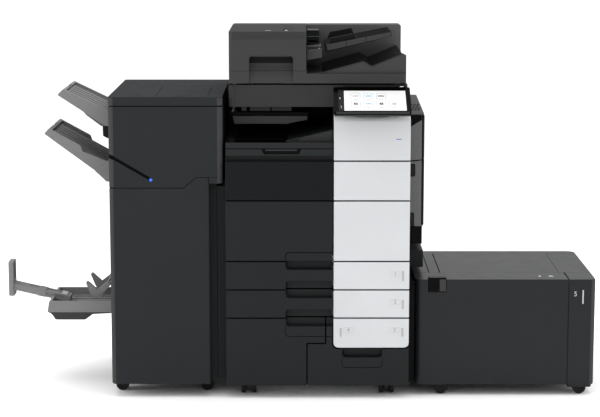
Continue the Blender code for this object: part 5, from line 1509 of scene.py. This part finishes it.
wall_x = FIN_LEFT - 0.0004
tray("v_finisher_upper_tray", "finisher_upper_tray", "machine", (-0.793, 1.037), (wall_x, 0.957),
    [(-0.814, 1.017, 0.004), (-0.793, 1.037, 0.004), (wall_x, 0.957), (wall_x, 0.905),
    (-0.657, 0.914, 0.006)], 0.013, 0.01,)
brace = rounded([(-0.735, 0.985), (-0.737, 0.96, 0.004), (-0.722, 0.942, 0.004), (-0.672, 0.904, 0.006),
    (-0.64, 0.904), (-0.64, 0.94)], 4)
done(prism("v_upper_tray_brace", "Y", FRONT + 0.22, FRONT + 0.43, brace), "tray_floor", "machine", 0.0024, 3)
hook = rounded([(-0.668, 0.868, 0.004), (-0.654, 0.86, 0.003), (-0.6276, 0.86), (-0.6276, 0.9046),
    (-0.669, 0.9046, 0.003)], 4)
for name, y in (("v_upper_tray_hook", FRONT + 0.24), ("v_upper_tray_hook_rear", FRONT + 0.36)):
    done(prism(name, "Y", y, y + 0.05, hook), "charcoal", "machine", 0.0016, 2)

wall_x = FIN_LEFT - 0.006
tray("v_finisher_stack_tray", "finisher_stack_tray", "stack_tray", (-0.845, 0.902), (wall_x, 0.785),
    [(-0.861, 0.884, 0.004), (-0.845, 0.902, 0.004), (wall_x, 0.785), (wall_x, 0.719), (-0.651, 0.719, 0.004),
    (-0.691, 0.758, 0.01)], 0.014, 0.012, (0.5, 0.57, 0.014),)
cheek = rounded([(-0.6915, 0.758, 0.002), (-0.65, 0.7194, 0.004), (wall_x - 0.0002, 0.7194),
    (wall_x - 0.0002, 0.794, 0.002)], 4)
for side, (near, far) in (("front", (TRAY_Y[0] - 0.003, TRAY_Y[0] + 0.004)),
        ("rear", (TRAY_Y[1] - 0.004, TRAY_Y[1] + 0.003))):
    done(prism(f"v_stack_tray_cheek_{side}", "Y", near, far, cheek), "tray_grey", "stack_tray", 0.0016, 2)
for k, y in enumerate((TRAY_Y[0] + 0.04, TRAY_Y[1] - 0.06)):
    done(block(f"v_lift_rail_{k}", (FIN_LEFT - 0.003, y, 0.52), (FIN_LEFT + 0.0006, y + 0.02, 0.92), 0.002,
        axis="X"), "black", "machine", 0.0006, 1)

# ---------------------------------------------------------------- booklet tray

BOOK_Y = (FRONT + 0.19, FRONT + 0.44)
middle = (BOOK_Y[0] + BOOK_Y[1]) / 2
piece = prism("v_booklet_tray", "Y", *BOOK_Y, rounded([(-0.866, 0.258, 0.004), (-0.86, 0.296, 0.004),
    (FIN_LEFT - 0.0004, 0.296), (FIN_LEFT - 0.0004, 0.254), (-0.708, 0.251, 0.01), (-0.735, 0.231, 0.012),
    (-0.838, 0.231, 0.01), (-0.85, 0.25, 0.004)], 6))
cut(piece, hole((-0.85, BOOK_Y[0] + 0.01, 0.27), (FIN_LEFT - 0.009, BOOK_Y[1] - 0.01, 0.31), 0.008, axis="Z"))
cut(piece, hole((-0.88, middle - 0.0325, 0.27), (-0.84, middle + 0.0325, 0.31)))
done(piece, "tray_grey", "machine", 0.002, 3, "booklet_tray")
keel = rounded([(-0.859, 0.2572, 0.002), (-0.85, 0.249, 0.004), (-0.838, 0.2306, 0.01),
    (-0.735, 0.2306, 0.012), (-0.708, 0.2505, 0.01), (-0.648, 0.253, 0.002), (-0.646, 0.2572, 0.001)], 6)
done(prism("v_booklet_keel", "Y", BOOK_Y[0] - 0.0006, BOOK_Y[1] + 0.0006, keel), "graphite", "machine",
    0.0016, 2)
for k in range(5):
    y = BOOK_Y[0] + 0.035 + 0.042 * k
    done(block(f"v_booklet_rib_{k}", (-0.842, y, 0.2695), (FIN_LEFT - 0.016, y + 0.004, 0.2728), axis="Z"),
        "tray_floor", "machine", 0.0006, 1)
done(prism("v_booklet_tag", "Y", BOOK_Y[0] + 0.1, BOOK_Y[0] + 0.15,
    [(-0.829, 0.3016), (-0.809, 0.297), (-0.8086, 0.299), (-0.8286, 0.3036)]), "mark_gauge", "booklet_stop",
    0.0003, 1)
paper_plate = prism("v_booklet_gauge", "Y", BOOK_Y[0] + 0.06, BOOK_Y[0] + 0.11,
    rounded([(-0.784, 0.27), (-0.78, 0.27), (-0.772, 0.288, 0.001), (-0.776, 0.289, 0.001)], 3))
cut(paper_plate, hole((-0.79, BOOK_Y[0] + 0.078, 0.28), (-0.76, BOOK_Y[0] + 0.094, 0.31)))
done(paper_plate, "tray_floor", "machine", 0.0006, 1)

run, rise = math.cos(math.radians(13.0)), math.sin(math.radians(13.0))


def on_rail(far, up):
    return (-0.8 - far * run + up * rise, 0.272 + far * rise + up * run)


def rail_part(near, far, low, high, radii=(0.003, 0.003, 0.003, 0.003)):
    """An outline in the rail's own plane."""
    corners = (on_rail(near, low), on_rail(near, high), on_rail(far, high), on_rail(far, low))
    return rounded([(*corner, radius) for corner, radius in zip(corners, radii)], 4)


reach = (END - 0.01 - 0.8) / run
rail = prism("v_booklet_stop", "Y", middle - 0.03, middle + 0.03,
    rail_part(0.0, reach, 0.0, 0.022, (0.004, 0.004, 0.0, 0.0)))
flute = rail_part(0.02, 0.11, 0.0065, 0.0155)
cut(
    rail,
    cutter("Y", middle - 0.04, middle - 0.028, flute),
    cutter("Y", middle + 0.028, middle + 0.04, flute),
    cutter("Y", middle - 0.016, middle + 0.016, rail_part(0.012, 0.15, 0.019, 0.03, (0.0, 0.0, 0.0, 0.0))),
)
plate = prism("plate", "X", -END + 0.0006, -END + 0.0176,
    rounded([(middle - 0.035, 0.294, 0.01), (middle + 0.035, 0.294, 0.01), (middle + 0.035, 0.418, 0.008),
    (middle - 0.035, 0.418, 0.008)], 6))
cut(plate, hole((-END + 0.012, middle - 0.026, 0.35), (-END + 0.05, middle + 0.026, 0.408), 0.006, axis="X"))
add(rail, plate)
done(rail, "tray_grey", "booklet_stop", 0.0018, 3, "booklet_stop")
band = rail_part(0.088, 0.118, -0.001, 0.0234, (0.002, 0.003, 0.003, 0.002))
done(prism("v_booklet_collar", "Y", middle - 0.0312, middle + 0.0312, band), "tray_grey", "booklet_stop",
    0.001, 2)
like_cad("press_arms", "tray_grey", 0.0022, 3)
for k, y in enumerate((BOOK_Y[0] + 0.036, BOOK_Y[1] - 0.036)):
    done(rod(f"v_press_boss_{k}", "Y", (-0.658, y, 0.352), 0.009, 0.006, 28), "tray_grey", "press_arms",
        0.001, 2)
done(prism("v_press_bracket", "Y", middle - 0.02, middle + 0.02,
    rounded([(-0.6276, 0.36), (-0.65, 0.356, 0.003), (-0.65, 0.3485, 0.002), (-0.6276, 0.347)], 4)), "black",
    "machine", 0.001, 2)

# ---------------------------------------------------------------- large paper unit

LCT_LEFT, LCT_RIGHT = 0.402, END
LCT_FRONT, LCT_REAR = FRONT + 0.039, FRONT + 0.567
LCT_BASE, LCT_TOP = 0.0384, 0.4036
CAP = 0.922  # seam of the end cover
lct_plan = (LCT_LEFT + 0.0002, LCT_RIGHT - 0.0002, LCT_FRONT + 0.0002, LCT_REAR - 0.0002,
    (0.024, 0.017, 0.028, 0.008))
strip_y, hinge_x, rear_y = FRONT + 0.159, 0.456, FRONT + 0.51

piece = cad_copy("lct_housing")
rounded_plan(piece, *lct_plan)
cut(
    piece,
    hole((CAP - 0.0016, LCT_FRONT - 0.01, 0.0), (CAP + 0.0016, LCT_FRONT + 0.005, 0.5)),
    hole((CAP - 0.0024, LCT_FRONT - 0.01, LCT_TOP - 0.005), (CAP + 0.0024, strip_y, 0.5)),
    parting("Z", LCT_TOP, 0.005, hinge_x, hinge_x, strip_y, rear_y, 0.004),
    parting("Z", LCT_TOP, 0.005, 0.4926, 0.4926, strip_y + 0.001, rear_y - 0.001, 0.003),
    parting("Z", LCT_TOP, 0.0014, 0.906, LCT_RIGHT - 0.004, rear_y, rear_y, 0.0018),
    parting("Z", LCT_TOP, 0.0014, LCT_LEFT + 0.01, hinge_x, rear_y, rear_y, 0.0018),
    parting("Z", LCT_TOP, 0.0012, 0.906, LCT_RIGHT - 0.004, strip_y, strip_y, 0.0014),
    parting("Z", LCT_TOP, 0.0012, LCT_LEFT + 0.012, 0.494, strip_y, strip_y, 0.0014),
    parting("X", LCT_RIGHT, 0.0014, LCT_REAR - 0.04, LCT_REAR - 0.04, 0.03, 0.41),
    *louvres("X", LCT_RIGHT, 0.004, FRONT + 0.38, FRONT + 0.48, 0.09, 0.17, 8),
    hole((LCT_RIGHT - 0.012, FRONT + 0.25, 0.3), (LCT_RIGHT + 0.01, FRONT + 0.37, 0.335), 0.012, axis="X"),
)
cut(
    piece,
    *louvres("Y", LCT_REAR, 0.004, 0.48, 0.62, 0.1, 0.19, 9),
    parting("Y", LCT_REAR, 0.0014, LCT_LEFT, LCT_RIGHT, 0.37, 0.37),
    parting("Y", LCT_REAR, 0.0014, 0.76, 0.76, 0.03, 0.37),
    hole((0.66, LCT_REAR - 0.008, 0.12), (0.72, LCT_REAR + 0.01, 0.15), 0.004),
)
done(piece, "cabinet", "paper_unit", 0.0024, 3, "lct_housing")
socket = block("v_lct_socket", (0.664, LCT_REAR - 0.0085, 0.124), (0.716, LCT_REAR - 0.003, 0.146), 0.003)
cut(socket, hole((0.672, LCT_REAR - 0.005, 0.13), (0.708, LCT_REAR + 0.01, 0.14), 0.003))
done(socket, "black", "paper_unit", 0.0006, 1)
for k, (x, z) in enumerate(((0.43, 0.388), (0.74, 0.388), (0.985, 0.388), (0.43, 0.06), (0.74, 0.06),
        (0.985, 0.06), (0.78, 0.22))):
    screw(f"v_lct_rear_screw_{k}", "Y", (x, LCT_REAR - 0.0004, z), "paper_unit")
done(block("v_lct_plinth", (CAP + 0.002, LCT_FRONT + 0.005, 0.028),
    (LCT_RIGHT - 0.006, LCT_REAR - 0.02, LCT_BASE + 0.0004), 0.012, axis="Z"), "black", "paper_unit", 0.0014,
    2)

# lid, with its lining and hinges
low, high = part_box("lct_lid")
like_cad("lct_lid", "cabinet", 0.0004, 2)
pad = block("v_lct_lid_lining", (0.52, low.y + 0.02, low.z - 0.0008), (0.89, high.y - 0.02, low.z + 0.001),
    0.01, axis="Z")
cut(pad, *[hole((x, low.y + 0.04, low.z - 0.01), (x + 0.05, high.y - 0.04, low.z), 0.008, axis="Z")
    for x in (0.545, 0.625, 0.705, 0.785)])
done(pad, "graphite", "lct_lid", 0.0003, 1)
for k, y in enumerate((low.y + 0.05, high.y - 0.11)):
    done(rod(f"v_lct_hinge_{k}", "Y", (0.493, y + 0.03, LCT_TOP - 0.009), 0.004, 0.06, 20), "black",
        "paper_unit", 0.0006, 1)

# printed marks: generic paper signs, the drawer's number and its gauge
tip = FRONT + 0.096
done(prism("v_lct_sign_face", "Z", LCT_TOP - 0.0004, LCT_TOP + 0.0003,
    rounded([(0.825, tip), (0.83, tip - 0.011, 0.001), (0.835, tip), (0.83, tip + 0.011, 0.001)], 3)),
    "mark_pale", "paper_unit", 0.0)
done(prism("v_lct_sign_edge", "Z", LCT_TOP - 0.0004, LCT_TOP + 0.0003,
    [(0.859, tip - 0.005), (0.877, tip - 0.005), (0.877, tip - 0.001), (0.868, tip + 0.01),
    (0.859, tip - 0.001)]), "mark_pale", "paper_unit", 0.0)
numeral("v_lct_number", "5", (0.945, LCT_FRONT + 0.0001, 0.353), 0.0165, 0.0006, "paper_unit", "mark_pale")
patch("v_lct_gauge", (0.9685, LCT_FRONT - 0.0003, 0.319), (0.9728, LCT_FRONT + 0.0008, 0.367), 0.0016,
    "paper_unit", "mark_pale")

# release lever in its pocket
like_cad("lct_lever", "bezel", 0.001, 2, cuts=louvres("Y", LCT_FRONT - 0.003, 0.001, 0.452, 0.48, 0.37, 0.392,
    4))
dock = block("v_paper_dock", (RIGHT + 0.0004, FRONT + 0.052, 0.052), (LCT_LEFT - 0.001, FRONT + 0.54, 0.396),
    0.002, axis="X")
cut(dock, parting("Y", FRONT + 0.052, 0.0016, RIGHT - 0.01, LCT_LEFT + 0.01, 0.385, 0.385))
done(dock, "bezel", "machine", 0.001, 2)
# painted highlight down the paper unit's right corner
highlight_strip("v_lct_edge", LCT_RIGHT, LCT_FRONT, LCT_BASE + 0.003, LCT_TOP - 0.003, "paper_unit", 0.015, -1.0, 0.013)
low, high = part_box("lct_lever")
patch("v_lct_lever_face", (0.4845, low.y - 0.0005, low.z + 0.0014),
    (high.x - 0.0008, low.y + 0.001, high.z - 0.006), 0.001, "lct_lever", "graphite")

# lift plate, its guides and the feed rollers
low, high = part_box("lct_lift_plate")
like_cad("lct_lift_plate", "steel", 0.0006, 2, cuts=[*[hole((x, y, 0.07), (x + 0.06, y + 0.04, 0.09), 0.012,
    axis="Z") for x in (low.x + 0.06, high.x - 0.14) for y in (low.y + 0.07, high.y - 0.12)],
    *[hole((low.x + 0.16 + 0.05 * k, low.y + 0.06, high.z - 0.001),
    (low.x + 0.164 + 0.05 * k, high.y - 0.06, 0.1), 0.001, axis="Z") for k in range(4)]])
for side, y in (("front", LCT_FRONT + 0.0125), ("rear", LCT_REAR - 0.015)):
    plate = block(f"v_lct_guide_{side}", (0.45, y, 0.06), (0.9, y + 0.0025, 0.37), 0.004)
    cut(plate, *[hole((x, y - 0.01, 0.1), (x + 0.03, y + 0.02, 0.33), 0.01) for x in (0.5, 0.66, 0.82)])
    done(plate, "steel", "paper_unit", 0.0003, 1)
done(rod("v_lct_feed_shaft", "Y", (0.43, FRONT + 0.303, 0.366), 0.004, 0.4, 20), "bright", "paper_unit",
    0.0006, 1)
for k in range(3):
    done(rod(f"v_lct_feed_tyre_{k}", "Y", (0.43, FRONT + 0.253 + 0.05 * k, 0.366), 0.0105, 0.024, 28),
        "rubber", "paper_unit", 0.0014, 2)

# ---------------------------------------------------------------- casters

for node in NODES:
    if "_wheel_" not in node:
        continue
    low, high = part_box(node)
    centre = (low + high) / 2
    axis = "X" if high.x - low.x > high.y - low.y else "Y"
    outer = (high.x - low.x if axis == "X" else high.y - low.y) / 2
    edge, radius = outer - 0.0142, 0.0225
    half = [(0.0, outer - 0.001), (0.0045, outer - 0.001), (0.005, outer - 0.003), (0.0138, outer - 0.003),
        (0.0146, outer - 0.0006), (0.015, outer), (radius - 0.003, outer), (radius - 0.0008, outer - 0.0014),
        (radius, outer - 0.0036), (radius, edge + 0.002), (radius - 0.0012, edge), (0.012, edge),
        (0.011, edge + 0.003), (0.004, edge + 0.003), (0.0038, edge - 0.0006),]
    done(turned("v_" + node, axis, centre, half + [(r, -d) for r, d in reversed(half)], 40), "rubber",
        OWNER[node], 0.0, 1, node, 40.0)
    unit = node.split("_")[0]
    owner, top = {"main": ("machine", 0.0478), "finisher": ("machine", 0.0465),
        "lct": ("paper_unit", LCT_BASE + 0.0006)}[unit]
    wide = (0.0098, 0.0125) if axis == "X" else (0.0125, 0.0098)
    done(block(f"v_caster_neck_{node}", (centre.x - wide[0], centre.y - wide[1], 0.0112),
        (centre.x + wide[0], centre.y + wide[1], top + 0.003), 0.003, axis="Z"), "black", owner, 0.001, 2)
    across = (outer + 0.003, radius + 0.0055) if axis == "X" else (radius + 0.0055, outer + 0.003)
    hood = block(f"v_caster_hood_{node}", (centre.x - across[0], centre.y - across[1], top - 0.006),
        (centre.x + across[0], centre.y + across[1], top), 0.006, axis="Z")
    cut(hood, rod("tool", axis, centre, radius + 0.0012, 2 * outer + 0.0024, 40))
    done(hood, "black", owner, 0.0008, 2)

# ---------------------------------------------------------------- floor, light and camera


def stage():
    made, tree, shader, coords = finish_nodes("pale_floor")
    speckle = noise(tree, coords, 3.0)
    tint = blend_colour(tree, speckle, (0.955, 0.955, 0.955), (0.965, 0.965, 0.965))
    tree.links.new(tint, shader.inputs["Base Color"])
    shader.inputs["Roughness"].default_value = 0.9
    shader.inputs["Specular IOR Level"].default_value = 0.0
    floor = prism("floor", "Z", -0.02, 0.0, rectangle(-60.0, 60.0, -60.0, 60.0))
    floor.data.materials.append(made)

    world = bpy.data.worlds.new("studio")
    world.use_nodes = True
    tree = world.node_tree
    height = tree.nodes.new("ShaderNodeSeparateXYZ")
    tree.links.new(tree.nodes.new("ShaderNodeTexCoord").outputs["Generated"], height.inputs["Vector"])
    sky = spread(tree, height.outputs["Z"], 0.0, 1.0, 0.02, 0.55)
    sky = blend_colour(tree, sky, (0.5, 0.5, 0.505), (1.22, 1.22, 1.22))
    tree.links.new(sky, tree.nodes["Background"].inputs["Color"])
    bpy.context.scene.world = world

    for name, place, size, power in (
        ("overhead", (0.0, 0.3, 4.2), (5.0, 3.5), 100.0),
        ("left_fill", (-4.0, -3.5, 2.6), (3.0, 3.0), 20.0),
        ("left_edge", (-4.5, -0.6, 1.4), (1.2, 2.6), 80.0),
        ("right_edge", (4.8, -0.6, 1.6), (1.2, 2.6), 80.0),
    ):
        light = bpy.data.lights.new(name, "AREA")
        light.shape, light.size, light.size_y = "RECTANGLE", *size
        light.energy = power
        made = bpy.data.objects.new(name, light)
        bpy.context.scene.collection.objects.link(made)
        made.location = place
        aim = Vector((0.1, 0.0, 0.6)) - Vector(place)
        made.rotation_euler = aim.to_track_quat("-Z", "Y").to_euler()

    camera = bpy.data.cameras.new("camera")
    camera.lens, camera.sensor_width = 111.08, 36.0
    viewer = bpy.data.objects.new("camera", camera)
    bpy.context.scene.collection.objects.link(viewer)
    viewer.location = (0.0117, FRONT - 6.1037, 1.6424)
    viewer.rotation_euler = (math.radians(90.0 - 9.206), 0.0, 0.0)
    bpy.context.scene.camera = viewer
    bpy.context.scene.view_settings.view_transform = "Standard"


stage()
